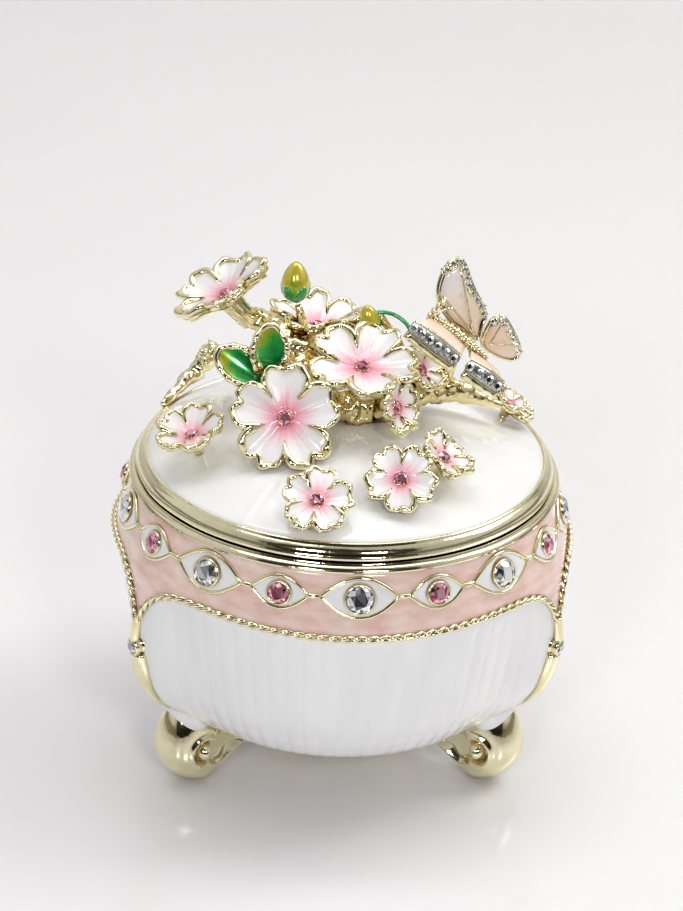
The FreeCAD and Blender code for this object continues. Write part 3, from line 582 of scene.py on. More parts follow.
def make_casting():
    """Bowl casting: the gilt inside of the bowl, its wall and its underside."""
    shape = Shape()
    inside = smooth_curve([(0.3, 11.0), (12.0, 11.1), (19.0, 11.6), (24.6, 15.0), (27.4, 19.9), (28.8, 26.0),
                           (29.2, 32.0), (29.2, 39.0), (29.2, 45.6)], 5)
    outside = [(30.9, 45.6), (32.4, 37.0), (31.4, 29.0), (30.2, 22.0), (28.2, 17.0), (25.4, 13.2),
               (21.4, 10.4), (16.0, 8.9), (14.0, 8.5), (8.0, 8.4), (0.3, 8.4)]
    lathe(shape, inside + outside, 144)
    make_piece("bowl", shape, GOLD, "base", ["bowl_casting"])


def ring_wobble(amount, seed):
    """Slight hand-finished unevenness round a ring."""
    rng = random.Random(seed)
    waves = [(rng.randint(3, 17), rng.uniform(0, tau), rng.uniform(0.3, 1.0)) for _ in range(6)]
    total = sum(wave[2] for wave in waves)

    def shift(azimuth):
        angle = radians(azimuth)
        return amount * sum(size * sin(k * angle + phase) for k, phase, size in waves) / total
    return shift


def make_rims():
    """Gold mouth rim of the base, and the lid's rolled rim."""
    low = BOWL_SECTIONS[-1, 0]
    shape = Shape()
    profile = [(29.2, low), (31.75, low), (32.02, low + 0.15), (32.1, low + 0.4), (31.95, low + 0.75),
               (31.65, low + 0.95), (31.5, low + 1.0), (31.45, SEAM_Z - 0.1), (31.35, SEAM_Z), (29.2, SEAM_Z)]
    lathe(shape, profile, 240, ring_wobble(0.04, 3))
    sharpen(make_piece("base_rim", shape, RIM_GOLD, "base", ["mouth_rim"]), 40.0)
    shape = Shape()
    start = SEAM_Z + 0.2
    curve = [(29.3, start), (31.0, start), (31.15, start + 0.1), (31.15, 47.65), (30.95, 47.8), (30.9, 48.1),
             (30.75, 48.5), (30.45, 48.85), (30.15, 49.05), (30.05, 49.12), (29.98, 49.35), (29.75, 49.5),
             (29.45, 49.45), (29.3, 49.2)]
    lathe(shape, curve, 360, ring_wobble(0.07, 5))
    sharpen(make_piece("lid_band", shape, RIM_GOLD, "lid", ["lid_rim"]), 50.0)


# The rope, in mm: the spacing of its points, the length of one turn, how far its middle stands off the bowl,
# the strands' radius, and how far each strand's middle is from the rope's own, across and outwards.
ROPE_SPACING = 0.13
ROPE_TURN = 3.4
ROPE_LIFT = 0.28
STRAND_RADIUS = 0.31
STRAND_ACROSS = 0.27
STRAND_OUT = 0.24


def make_rope():
    """Twisted gold border: two strands wound round each other along the border line."""
    path = []
    azimuth = FEET["left"]
    while azimuth < FEET["left"] + 360.0:
        path.append((azimuth, border_z(azimuth)))
        step = 0.02
        slope = (border_z(azimuth + step) - border_z(azimuth - step)) / (2 * step)
        per_degree = hypot(radians(1.0) * bowl_radius(azimuth, border_z(azimuth)), slope)
        azimuth += ROPE_SPACING / per_degree
    middle = [bowl_point(azimuth, z, ROPE_LIFT) for azimuth, z in path]
    normals = [bowl_normal(azimuth, z) for azimuth, z in path]
    turns = round(len(path) * ROPE_SPACING / ROPE_TURN)
    shape = Shape()
    base_frames = frames(middle, closed=True, up=normals)
    for strand in (0.0, pi):
        wound = []
        for index, ((side, normal), point) in enumerate(zip(base_frames, middle)):
            turn = tau * turns * index / len(path) + strand
            wound.append(point + side * (STRAND_ACROSS * cos(turn)) + normal * (STRAND_OUT * sin(turn)))
        tube(shape, wound, STRAND_RADIUS, 7, closed=True, up=normals)
    make_piece("rope", shape, GOLD, "base", ["rope_border"])


def eye_height(across, half_length, half_height):
    """Half height of an eye-shaped cell: full in the middle, drawn out to fine points."""
    return half_height * max(0.0, 1.0 - (across / half_length) ** 2) ** 1.12


def eye_reach(angle, half_length, half_height):
    """Distance from a cell's centre to its outline at an angle."""
    low, high = 0.0, half_length
    for _ in range(40):
        reach = (low + high) / 2.0
        across = reach * cos(angle)
        inside = abs(reach * sin(angle)) < eye_height(across, half_length, half_height)
        low, high = (reach, high) if inside else (low, reach)
    return (low + high) / 2.0


# Half length and half height of the eye cell round each kind of stone, and how far the links run into it.
EYE_CELLS = {"band_crystals_clear": (5.6, 2.75), "band_crystals_pink": (4.25, 2.2)}
LINK_OVERLAP = 0.25


def band_places():
    """The band's stones in order: azimuth, seat centre, outward axis, stone radius, cell size and node."""
    places = []
    for node, cell in EYE_CELLS.items():
        for centre, axis, radius in stone_seats(node):
            azimuth = degrees(atan2(centre[0], -centre[1]))
            places.append((azimuth, centre, axis, radius, cell, node))
    return sorted(places, key=lambda place: place[0])


def on_band(azimuth, across, up, lift=0.0):
    """Point of the band at a distance across and up from a place's centre."""
    shifted = azimuth + degrees(across / bowl_radius(azimuth, BAND_Z))
    return bowl_point(shifted, BAND_Z + up, lift)


def make_band():
    """Gold eye outlines with their links, the white enamel inside them, bezels and stones."""
    outline = Shape()
    enamel = Shape()
    bezels = Shape()
    stones = {node: Shape() for node in EYE_CELLS}
    places = band_places()
    for azimuth, centre, axis, radius, (length, height), node in places:
        path = []
        normals = []
        steps = 34
        for sign in (1.0, -1.0):
            for k in range(steps):
                across = sign * (-length + 2 * length * k / steps)
                up = sign * eye_height(across, length, height)
                path.append(on_band(azimuth, across, up, 0.1))
                normals.append(bowl_normal(azimuth, BAND_Z + up))
        tube(outline, path, 0.33, 8, closed=True, up=normals, flatten=1.1)
        cup_radius = radius + 0.18
        domed = [(m / 5.0, 0.16 + 0.14 * sin(pi * (m / 5.0))) for m in range(6)]
        rows = []
        for angle in circle(72):
            reach = max(eye_reach(angle, length, height), cup_radius + 0.02)
            row = []
            for share, lift in domed + [(1.0, -0.3), (0.0, -0.3)]:
                span = cup_radius + (reach - cup_radius) * share
                row.append(on_band(azimuth, span * cos(angle), span * sin(angle), lift))
            rows.append(row)
        enamel.grid(rows, along=True)
        add_bezel(bezels, centre, axis, radius, 0.8)
        add_stone(stones[node], centre, axis, radius)
    for here, there in zip(places, places[1:] + places[:1]):
        start = here[0] + degrees((here[4][0] - LINK_OVERLAP) / bowl_radius(here[0], BAND_Z))
        gap = (there[0] - here[0]) % 360.0
        end = here[0] + gap - degrees((there[4][0] - LINK_OVERLAP) / bowl_radius(there[0], BAND_Z))
        path = [bowl_point(start + (end - start) * k / 8.0, BAND_Z, 0.12) for k in range(9)]
        radii = [0.3 + 0.12 * sin(pi * k / 8.0) for k in range(9)]
        tube(outline, path, radii, 8, up=[bowl_normal(here[0], BAND_Z)] * 9)
    make_piece("eye_outlines", outline, GOLD, "base", ["eye_cells"])
    make_piece("eye_whites", enamel, WHITE, "base", ["eye_enamel"])
    make_piece("bezels", bezels, GOLD, "base", ["band_bezels"])
    make_piece("clear_stones", stones["band_crystals_clear"], CLEAR_STONE, "base",
               ["band_crystals_clear"], flat=True)
    make_piece("pink_stones", stones["band_crystals_pink"], PINK_STONE, "base",
               ["band_crystals_pink"], flat=True)


def add_bezel(shape, centre, axis, radius, depth):
    """Rolled cup round a stone."""
    profile = [(radius + 0.24, -depth), (radius + 0.25, -0.2), (radius + 0.23, -0.02), (radius + 0.14, 0.1),
               (radius + 0.02, 0.12), (radius - 0.06, 0.08), (radius - 0.06, -0.05), (radius * 0.9, -0.25),
               (radius * 0.5, -0.6 * depth), (radius * 0.5, -depth)]
    turned(shape, centre, axis, profile, 40)


def add_collet(shape, centre, axis, radius):
    """Thin low cup round a blossom's stone, with six small grains that hold it."""
    profile = [(radius + 0.08, -0.9), (radius + 0.07, -0.1), (radius + 0.02, 0.03), (radius - 0.06, 0.0),
               (radius * 0.7, -0.3), (radius * 0.7, -0.9)]
    turned(shape, centre, axis, profile, 32)
    right, up, out = axes_facing(axis)
    for angle in circle(6, 0.5):
        grain = centre + (right * cos(angle) + up * sin(angle)) * radius + out * 0.1
        bead(shape, grain, (0.13, 0.13, 0.13), rings=5, segments=8)


# A cut stone's sizes as shares of its radius: reach and height of its table and kites, girdle and depth.
TABLE_REACH, TABLE_HEIGHT = 0.56, 0.34
KITE_REACH, KITE_HEIGHT = 0.8, 0.2
GIRDLE_THICK = 0.06
STONE_DEPTH = 0.35


def add_stone(shape, centre, axis, radius):
    """Round brilliant: eight-sided table, stars, kites, girdle facets and a cone of pavilion facets."""
    right, up, out = axes_facing(axis)

    def ring(count, reach, height, offset=0.0):
        return [centre + (right * cos(angle) + up * sin(angle)) * reach + out * height
                for angle in circle(count, offset)]

    points = ring(8, TABLE_REACH * radius, TABLE_HEIGHT * radius)
    points += ring(8, KITE_REACH * radius, KITE_HEIGHT * radius, 0.5)
    points += ring(16, radius, 0.0) + ring(16, radius, -GIRDLE_THICK * radius)
    points.append(centre - out * STONE_DEPTH * radius)
    girdle, lower, foot = 16, 32, 48
    faces = [tuple(range(8))]
    for k in range(8):
        after = (k + 1) % 8
        kite = 8 + k
        left, middle, end = girdle + 2 * k, girdle + 2 * k + 1, girdle + (2 * k + 2) % 16
        faces += [(k, kite, after), (k, left, kite), (left, middle, kite)]
        faces += [(middle, end, kite), (kite, end, after)]
    for k in range(16):
        after = (k + 1) % 16
        faces += [(girdle + k, lower + k, lower + after, girdle + after), (lower + k, foot, lower + after)]
    shape.add(points, faces)


CLAW_TOP_Z = 24.9
CLAW_TIP_Z = 13.4


def make_straps():
    """Claw strap over each foot: a horn that tapers to a point, under a stone in a round cup."""
    stones = Shape()
    seats = {}
    for centre, axis, radius in stone_seats("leg_crystals"):
        seats[round(degrees(atan2(centre[0], -centre[1])))] = (centre, axis, radius)
    for side, azimuth in FEET.items():
        centre, axis, radius = seats[round(azimuth)] if round(azimuth) in seats else seats[-180]
        centre = centre - axis * 0.06
        shape = Shape()
        rows = []
        for z in np.linspace(CLAW_TOP_Z, CLAW_TIP_Z, 30):
            share = (CLAW_TOP_Z - z) / (CLAW_TOP_Z - CLAW_TIP_Z)
            half = (1.45 + 1.9 * share) * (1.0 - share ** 2.2) * (1.0 - 0.3 * share) + 0.06
            proud = 1.1 * (1.0 - share ** 2) + 0.2
            row = []
            for turn in circle(14):
                across = half * cos(turn)
                lift = proud * sin(turn)
                lift = lift if lift > 0 else 0.4 * lift
                row.append(bowl_point(azimuth + degrees(across / bowl_radius(azimuth, z)), z, lift))
            rows.append(row)
        shape.grid(rows, caps=True)
        add_bezel(shape, centre, axis, radius, 2.2)
        bead(shape, centre - axis * 1.5, (radius + 0.45, radius + 0.45, 1.3), axes_facing(axis), 10, 20)
        neck = [bowl_point(azimuth, z, lift)
                for z, lift in ((30.6, 0.1), (29.0, 0.35), (27.2, 0.5), (25.4, 0.4))]
        tube(shape, smooth_curve(neck, 5), 0.78, 10)
        make_piece("strap_" + side, shape, GOLD, "base", ["leg_strap_" + side])
        add_stone(stones, centre, axis, radius)
    make_piece("foot_stones", stones, CLEAR_STONE, "base", ["leg_crystals"], flat=True)


# Scroll foot in its radial plane: outline as (radius, height) in mm, from the top round the outside.
FOOT_OUTLINE = ((27.2, 14.2), (29.4, 12.9), (30.9, 10.2), (31.6, 7.0), (31.0, 4.4), (29.2, 2.0), (26.9, 0.55),
                (24.9, 0.1), (21.9, 1.9), (19.3, 3.75), (16.9, 5.0), (18.6, 7.2), (21.4, 9.4), (24.0, 12.2))
FOOT_CENTRE = (25.9, 6.6)
# Half width of a foot, the ring round its boss, the boss and the dish of its sides, in mm.
FOOT_HALF = 4.1
RING_RADIUS = 2.3
BOSS_HEIGHT = 2.1
BOSS_RADIUS = 1.5
DISH_DEPTH = 0.95
# Direction of the tail from the volute's centre, and half the angle that it takes up, in degrees.
TAIL_ANGLE = 192.0
TAIL_SPREAD = 48.0


def foot_reach(outline, angle):
    """Distance from the volute's centre to the outline at an angle."""
    direction = np.array([cos(angle), sin(angle)])
    best = 0.0
    centre = np.array(FOOT_CENTRE)
    for here, there in zip(outline, outline[1:] + outline[:1]):
        a = here - centre
        b = there - centre
        cross = direction[0] * (b - a)[1] - direction[1] * (b - a)[0]
        if abs(cross) < 1e-9:
            continue
        t = (a[0] * (b - a)[1] - a[1] * (b - a)[0]) / cross
        s = (a[0] * direction[1] - a[1] * direction[0]) / cross
        if t > 0 and -1e-6 <= s <= 1 + 1e-6:
            best = max(best, t)
    return best


def make_feet():
    """Scroll feet: a rounded gold scroll, dished on both sides round a small boss."""
    outline = smooth_curve(FOOT_OUTLINE, 6, closed=True)
    rays = 260
    steps = 40
    stations = [(min(m, 2 * steps - m) / steps, 1.0 if m < steps else -1.0) for m in range(1, 2 * steps)]
    reaches = [(angle, foot_reach(outline, angle)) for angle in circle(rays)]
    for side, azimuth in FEET.items():
        shape = Shape()
        shape.grid([[foot_point(azimuth, angle, share, reach, face) for share, face in stations]
                    for angle, reach in reaches], around=False, along=True)
        for face, column in ((1.0, 0), (-1.0, 2 * steps - 2)):
            centre = foot_world(azimuth, *FOOT_CENTRE, face * foot_depth(0.0, 0.0, 6.0))
            start = len(shape.points)
            shape.add([centre], [])
            ring = [k * (2 * steps - 1) + column for k in range(rays)]
            shape.faces += [(start, ring[k], ring[(k + 1) % rays]) for k in range(rays)]
        make_piece("foot_" + side, shape, RIM_GOLD, "base", ["scroll_foot_" + side])


def foot_world(azimuth, radius, z, across):
    """Point of a foot from its radius, height and distance across."""
    angle = radians(azimuth)
    out = np.array([sin(angle), -cos(angle), 0.0])
    side = np.array([cos(angle), sin(angle), 0.0])
    return out * radius + side * across + np.array([0.0, 0.0, z])


def toward_tail(angle):
    """1 towards the foot's tail, 0 round the rest of the volute."""
    off = abs((angle - radians(TAIL_ANGLE) + pi) % tau - pi)
    return 1.0 / (1.0 + exp((degrees(off) - TAIL_SPREAD) / 5.0))


def foot_depth(share, angle, reach):
    """Half thickness of a foot at a share of the way from the centre to the outline."""
    from_edge = (1.0 - share) * reach
    distance = share * reach
    tail = toward_tail(angle)
    width = FOOT_HALF * (1.0 - 0.42 * tail * min(1.0, distance / 8.0))
    ring = RING_RADIUS + 0.35 * max(0.0, -sin(angle)) ** 2
    span = max(1.5, reach - ring) * (1.0 - tail) + 1.0 * tail
    body = width * sqrt(max(0.0, 1.0 - (1.0 - min(1.0, from_edge / span)) ** 2))
    rim = 0.42 * (1.0 - 0.8 * tail) * exp(-((distance - ring) / 0.45) ** 2)
    inside = clamp((ring - 0.2 - distance) / 0.8)
    hollow = clamp((reach - 0.5 - distance) / 3.0)
    dish = DISH_DEPTH * inside * (1.0 - tail) + 2.0 * tail * hollow * (2.0 - hollow) * 0.7
    boss = BOSS_HEIGHT * sqrt(max(0.0, 1.0 - (distance / BOSS_RADIUS) ** 2))
    return max(0.3 * body, body + rim - dish) + boss


def foot_point(azimuth, angle, share, reach, face):
    """Point on one face of a foot, at an angle and a share of the way to the outline."""
    radius = FOOT_CENTRE[0] + share * reach * cos(angle)
    z = FOOT_CENTRE[1] + share * reach * sin(angle)
    return foot_world(azimuth, radius, z, face * foot_depth(share, angle, reach) if share < 1.0 else 0.0)


def make_lobes():
    """White enamel lobe that runs from the bowl onto the top of each foot."""
    for side, azimuth in FEET.items():
        shape = Shape()
        out = unit(polar(azimuth, 1.0, 0.0))
        across = unit(polar(azimuth + 90.0, 1.0, 0.0))
        slope = unit(out * 0.75 + np.array([0.0, 0.0, -0.66]))
        axes = (np.cross(slope, across), across, slope)
        bead(shape, polar(azimuth, 26.7, 12.2), (3.4, 4.7, 2.8), axes, 16, 30)
        make_piece("foot_lobe_" + side, shape, WHITE, "base")


# ---------------------------------------------------------------- lid
DOME_RADIUS = 69.0
DOME_TOP = 56.0
DOME_EDGE = 29.5
DOME_SKIN = 0.5
DOME_FLUTES = 72.0
FLUTE_DEPTH = 0.008


def dome_z(radius, lift=0.0):
    """Height of the dome at a radius, lifted along its normal."""
    return DOME_TOP - DOME_RADIUS + sqrt((DOME_RADIUS + lift) ** 2 - radius ** 2)


def make_dome():
    """White enamel of the lid, with faint flutes that fan out from its top."""
    shape = Shape()
    columns = 432
    rows = 40
    azimuths = [360.0 * j / columns for j in range(columns)]

    def flute(azimuth):
        return FLUTE_DEPTH * cos(radians(DOME_FLUTES * azimuth))

    skin = []
    for i in range(1, rows + 1):
        radius = DOME_EDGE * i / rows
        fade = min(1.0, radius / 14.0) * min(1.0, (DOME_EDGE - radius) / 2.0)
        skin.append([polar(azimuth, radius, dome_z(radius) + flute(azimuth) * fade) for azimuth in azimuths])
    for i in (rows, rows // 2, 1):
        radius = DOME_EDGE * i / rows
        skin.append([polar(azimuth, radius, dome_z(radius, -DOME_SKIN)) for azimuth in azimuths])
    shape.grid(skin)
    tip = len(shape.points)
    shape.add([(0.0, 0.0, dome_z(0.0)), (0.0, 0.0, dome_z(0.0, -DOME_SKIN))], [])
    last = (rows + 2) * columns
    for j in range(columns):
        after = (j + 1) % columns
        shape.faces.append((tip, j, after))
        shape.faces.append((tip + 1, last + after, last + j))
    make_piece("dome", shape, DOME_WHITE, "lid", ["lid_enamel"])


def petal_place(angle):
    """Which petal an angle falls in, and where across it from -1 to 1."""
    turn = angle * 5.0 / tau
    petal = floor(turn + 0.5)
    return petal % 5, (turn - petal) * 2.0


def petal_reach(angle, radius, seed):
    """Outline of a blossom: five broad petals, each notched at its tip and wavy along its edge."""
    petal, local = petal_place(angle)
    rng = random.Random(seed * 31 + petal)
    size = rng.uniform(0.95, 1.0)
    lean = rng.uniform(-0.06, 0.06)
    phase = rng.uniform(0.0, 6.0)
    body = max(0.0, 1.0 - abs(local) ** 4.0) ** 0.55
    notch = 0.075 * exp(-((local - lean) / 0.15) ** 2)
    shoulder = 0.03 * exp(-((abs(local - lean) - 0.4) / 0.2) ** 2)
    waves = 0.022 * sin(local * 13.0 + phase) * (1.0 - local * local)
    return radius * (0.47 + 0.50 * size * body + shoulder - notch * body + waves)


def petal_height(angle, reach, radius, cup, seed):
    """Height over the heart: the blossom's bowl, with each petal dished along its middle."""
    petal, local = petal_place(angle)
    rng = random.Random(seed * 57 + petal)
    tilt = rng.uniform(0.7, 1.3)
    twist = rng.uniform(-0.06, 0.06)
    share = reach / radius
    rise = cup * radius * share ** 1.6 * tilt
    trough = 0.20 * radius * share ** 2 * (local ** 2 - 0.3)
    crease = 0.015 * radius * exp(-(local / 0.1) ** 2) * share
    ruffle = 0.012 * radius * sin(local * 11.0 + seed) * share ** 3
    curl = -0.16 * radius * max(0.0, share - 0.74) ** 1.2
    return rise + trough - crease + curl + ruffle + twist * radius * local * share ** 2


def streaks(seed, count):
    """Smooth random value for each ray, like brush strokes that fan out from the heart."""
    rng = random.Random(seed)
    knots = [rng.uniform(-1.0, 1.0) for _ in range(70)]
    values = []
    for k in range(count):
        place = k * len(knots) / count
        low = int(place)
        share = place - low
        share = share * share * (3.0 - 2.0 * share)
        values.append(knots[low] * (1.0 - share) + knots[(low + 1) % len(knots)] * share)
    return values


# Blossoms that sit away from their CAD seat: how far they tip forward, in degrees, and sink, in mm.
BLOSSOM_SHIFT = {"rear_large": (9.0, 1.3), "small_wing": (0.0, 0.5)}
# Blossoms whose stem differs from the rest, with its radius in mm.
STEM_WIDTH = {"left_large": 1.95}
# Radius over which a blossom counts as a large one, in mm.
LARGE = 6.0


def make_blossom(name, index, cup, node_enamel):
    """One blossom: gold cup with a rounded, wavy rim and stem, its enamel and its stone."""
    node = "blossom_" + name
    low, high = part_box(node)
    heart, axis, stone_radius = nearest_seat("blossom_crystals", np.array((low + high) / 2.0) / MM)
    skin = min(islands(node_enamel), key=lambda points: np.linalg.norm(points.mean(0) - heart))
    flat = skin - heart
    flat = flat - np.outer(flat @ axis, axis)
    reaches = np.linalg.norm(flat, axis=1)
    radius = reaches.max() + 0.45
    petal_axis = unit(flat[int(np.argmax(reaches))])
    if name in BLOSSOM_SHIFT:
        lean, sink = BLOSSOM_SHIFT[name]
        axis = unit(axis + np.array([0.0, -tan(radians(lean)), 0.0]))
        petal_axis = unit(petal_axis - axis * np.dot(petal_axis, axis))
        heart = heart - axis * sink
    cross = np.cross(petal_axis, axis)
    heart = heart - axis * 0.35

    def place(angle, reach, drop):
        """Point a little under the blossom's surface."""
        height = petal_height(angle, reach, radius, cup, index) - drop
        return heart + (petal_axis * cos(angle) + cross * sin(angle)) * reach + axis * height

    rays = 260
    angles = circle(rays)
    outline = [petal_reach(angle, radius - 0.35, index) for angle in angles]

    enamel = Shape()
    rows = []
    tints = []
    shares = (0.12, 0.24, 0.36, 0.48, 0.6, 0.72, 0.83, 0.92, 1.0)
    layers = [(share, 0.0) for share in shares] + [(1.0, 0.3), (0.12, 0.3)]
    for angle, edge, stroke in zip(angles, outline, streaks(index + 40, rays)):
        local = petal_place(angle)[1]
        spans = [share * (edge - 0.12) for share, depth in layers]
        rows.append([place(angle, reach, depth) for reach, (share, depth) in zip(spans, layers)])
        parts = [reach / radius for reach in spans]
        tints.append([1.08 * part + 0.12 * part * abs(local) ** 1.5 + 0.08 * stroke * min(1.0, part * 2.0)
                      for part in parts])
    enamel.grid(rows, along=True, tint=tints)

    metal = Shape()
    thick = 1.4 if radius > LARGE else 1.0
    layers = [(share, 0.2) for share in (0.1, 0.4, 0.7, 1.0)]
    layers += [(share, 0.2 + thick * (0.85 + 0.15 * (1.0 - share))) for share in (1.0, 0.9, 0.6, 0.3, 0.1)]
    metal.grid([[place(angle, share * edge, drop) for share, drop in layers]
                for angle, edge in zip(angles, outline)], along=True)
    phase = random.Random(index + 90).uniform(0, 6)
    heavy = 1.0 if radius > LARGE else 0.8
    radii = []
    for angle in angles:
        size = heavy * (0.47 + 0.1 * sin(3 * angle + phase) + 0.08 * sin(9 * angle + phase)
                        + 0.05 * sin(23 * angle + 2 * phase))
        lower = max(0.0, -(petal_axis[2] * cos(angle) + cross[2] * sin(angle)))
        radii.append(size * (1.0 + 0.4 * lower))
    tube(metal, [place(angle, edge, 0.12) for angle, edge in zip(angles, outline)], radii, 8, closed=True)
    foot = stem_foot(node, heart, axis)
    start = heart - axis * 0.6
    knee = start * 0.45 + foot * 0.55 - axis * 0.5
    stem = smooth_curve([start, knee, foot], 6)
    width = STEM_WIDTH.get(name, 1.35 if radius > LARGE else 1.0)
    tube(metal, stem, [width - 0.35 * min(1.0, k / 5.0) for k in range(len(stem))], 10)
    add_collet(metal, heart + axis * 0.3, axis, stone_radius)
    make_piece(name, metal, CAST_GOLD, "lid", [node])
    stones = Shape()
    add_stone(stones, heart + axis * 0.38, axis, stone_radius - 0.05)
    return enamel, stones


def stem_foot(node, heart, axis):
    """Where a blossom's stem ends: the middle of its CAD solid's points furthest behind the heart."""
    points = node_points(node)
    behind = (points - heart) @ axis
    return points[behind < behind.min() + 0.6].mean(0)


def make_blossoms():
    """All eleven blossoms, with their enamel and stones."""
    cups = {"front_large": 0.16, "top_large": 0.26, "left_large": 0.34, "rear_large": 0.42,
            "small_left": 0.4, "small_front": 0.14, "small_right": 0.16, "small_outer": 0.36,
            "small_trunk": 0.34, "small_rear": 0.36, "small_wing": 0.36}
    stones = Shape()
    skins = {"blossom_enamel_large": [], "blossom_enamel_small": []}
    for index, (name, cup) in enumerate(cups.items()):
        node = "blossom_enamel_large" if name.endswith("large") else "blossom_enamel_small"
        enamel, gem = make_blossom(name, index + 1, cup, node)
        skins[node].append((name, enamel))
        stones.add(gem.points, gem.faces)
    for node, group in skins.items():
        for name, enamel in group:
            make_piece("enamel_" + name, enamel, BLOSSOM, "lid", [node])
    make_piece("blossom_stones", stones, PINK_STONE, "lid", ["blossom_crystals"], flat=True)


# The spray is drawn square to the box and turned on the lid by this angle, in degrees.
SPRAY_TURN = -1.3


def spray(point):
    """Turn a point of the spray, drawn square to the box, to where it sits on the lid."""
    turn = radians(SPRAY_TURN)
    x, y = point[0], point[1]
    turned_to = [x * cos(turn) - y * sin(turn), x * sin(turn) + y * cos(turn)]
    return np.array(turned_to + list(point[2:]))


def spray_curve(points, steps):
    """Smooth curve through points of the spray."""
    return smooth_curve([spray(point) for point in points], steps)


# Branch routes as (x, y, z, radius) in mm, as the cast branch has them.
TRUNK = ((-15.2, 5.6, 68.4, 1.4), (-12.0, 4.3, 67.2, 1.9), (-8.9, 2.6, 65.2, 2.2), (-6.4, 0.4, 62.4, 2.4),
         (-5.0, -2.4, 59.4, 2.3), (-1.2, -3.6, 58.2, 2.4), (3.6, -4.4, 57.9, 2.3))
RIGHT_LIMB = ((3.6, -4.4, 57.9, 2.2), (8.2, -0.2, 58.3, 2.2), (12.3, 2.0, 58.5, 2.1), (16.1, 2.6, 58.0, 1.7),
              (19.9, 2.8, 56.8, 1.1), (23.4, 2.9, 55.4, 0.5))
REAR_LIMB = ((-8.6, 1.6, 61.8, 1.2), (-5.2, 5.4, 62.4, 1.0))
BUD_STEM = ((8.2, 0.4, 57.9, 0.8), (7.6, 4.2, 64.0, 0.7), (4.6, 5.4, 68.6, 0.6))
TOP_STEM = ((-5.2, 5.4, 62.4, 0.7), (-7.6, 6.9, 69.4, 0.6))
TWIG = ((-27.2, 13.2, 49.6, 0.6), (-25.6, 15.2, 50.6, 0.8), (-24.0, 17.2, 51.6, 1.0),
        (-22.0, 18.8, 53.2, 1.3), (-20.4, 19.4, 55.0, 1.6), (-19.2, 19.6, 56.8, 1.3))
# Stalk of the right bud as (x, y, z) in mm.
BUD_STALK = ((3.4, 5.4, 69.0), (5.2, 5.1, 69.3), (7.0, 4.4, 69.0), (8.8, 3.4, 67.6), (9.6, 2.4, 64.5),
             (9.8, 1.6, 60.0))


def bark(shape, route, seed, roughness):
    """Knotty limb along a route, lumpy and pitted like cast bark."""
    stations = spray_curve(route, 16)
    curve = [station[:3] for station in stations]
    offset = Vector((seed * 7.3, seed * 3.1, 0.0))
    rows = []
    for (side, normal), point, station in zip(frames(curve), curve, stations):
        row = []
        for angle in circle(24):
            ray = side * cos(angle) + normal * sin(angle)
            place = Vector(point + ray * station[3]) + offset
            lump = 1.1 * space_noise(place * 0.45) + 0.8 * space_noise(place * 1.1)
            lump += 0.2 * space_noise(place * 2.4)
            row.append(point + ray * (station[3] * (1.0 + roughness * lump)))
        rows.append(row)
    shape.grid(rows, caps=True)


def make_branch():
    """Cast branch and the beaded twig at the back left."""
    shape = Shape()
    for seed, route in enumerate((TRUNK, RIGHT_LIMB, REAR_LIMB, BUD_STEM, TOP_STEM)):
        bark(shape, route, seed + 11, 0.34 if route is TRUNK else 0.26)
    make_piece("branch_bark", shape, BARK_GOLD, "lid", ["branch"])
    twig = Shape()
    bark(twig, TWIG, 31, 0.35)
    rng = random.Random(5)
    for station in spray_curve(TWIG, 4):
        size = 0.48 * station[3] * rng.uniform(0.85, 1.1)
        turn = rng.uniform(0.0, tau)
        offset = np.array([cos(turn), sin(turn), rng.uniform(-0.2, 0.6)]) * 0.6 * station[3]
        bead(twig, station[:3] + offset, (size, size * rng.uniform(0.8, 1.0), size * rng.uniform(0.7, 0.95)))
    make_piece("twig", twig, CAST_GOLD, "lid", ["beaded_twig"])


def upright_axes(points):
    """Centre of a set of points and its axes: the longest, made to point up, the next and the shortest."""
    centre = points.mean(0)
    vectors = np.linalg.eigh(np.cov((points - centre).T))[1]
    along = vectors[:, 2]
    return centre, -along if along[2] < 0 else along, vectors[:, 1], vectors[:, 0]


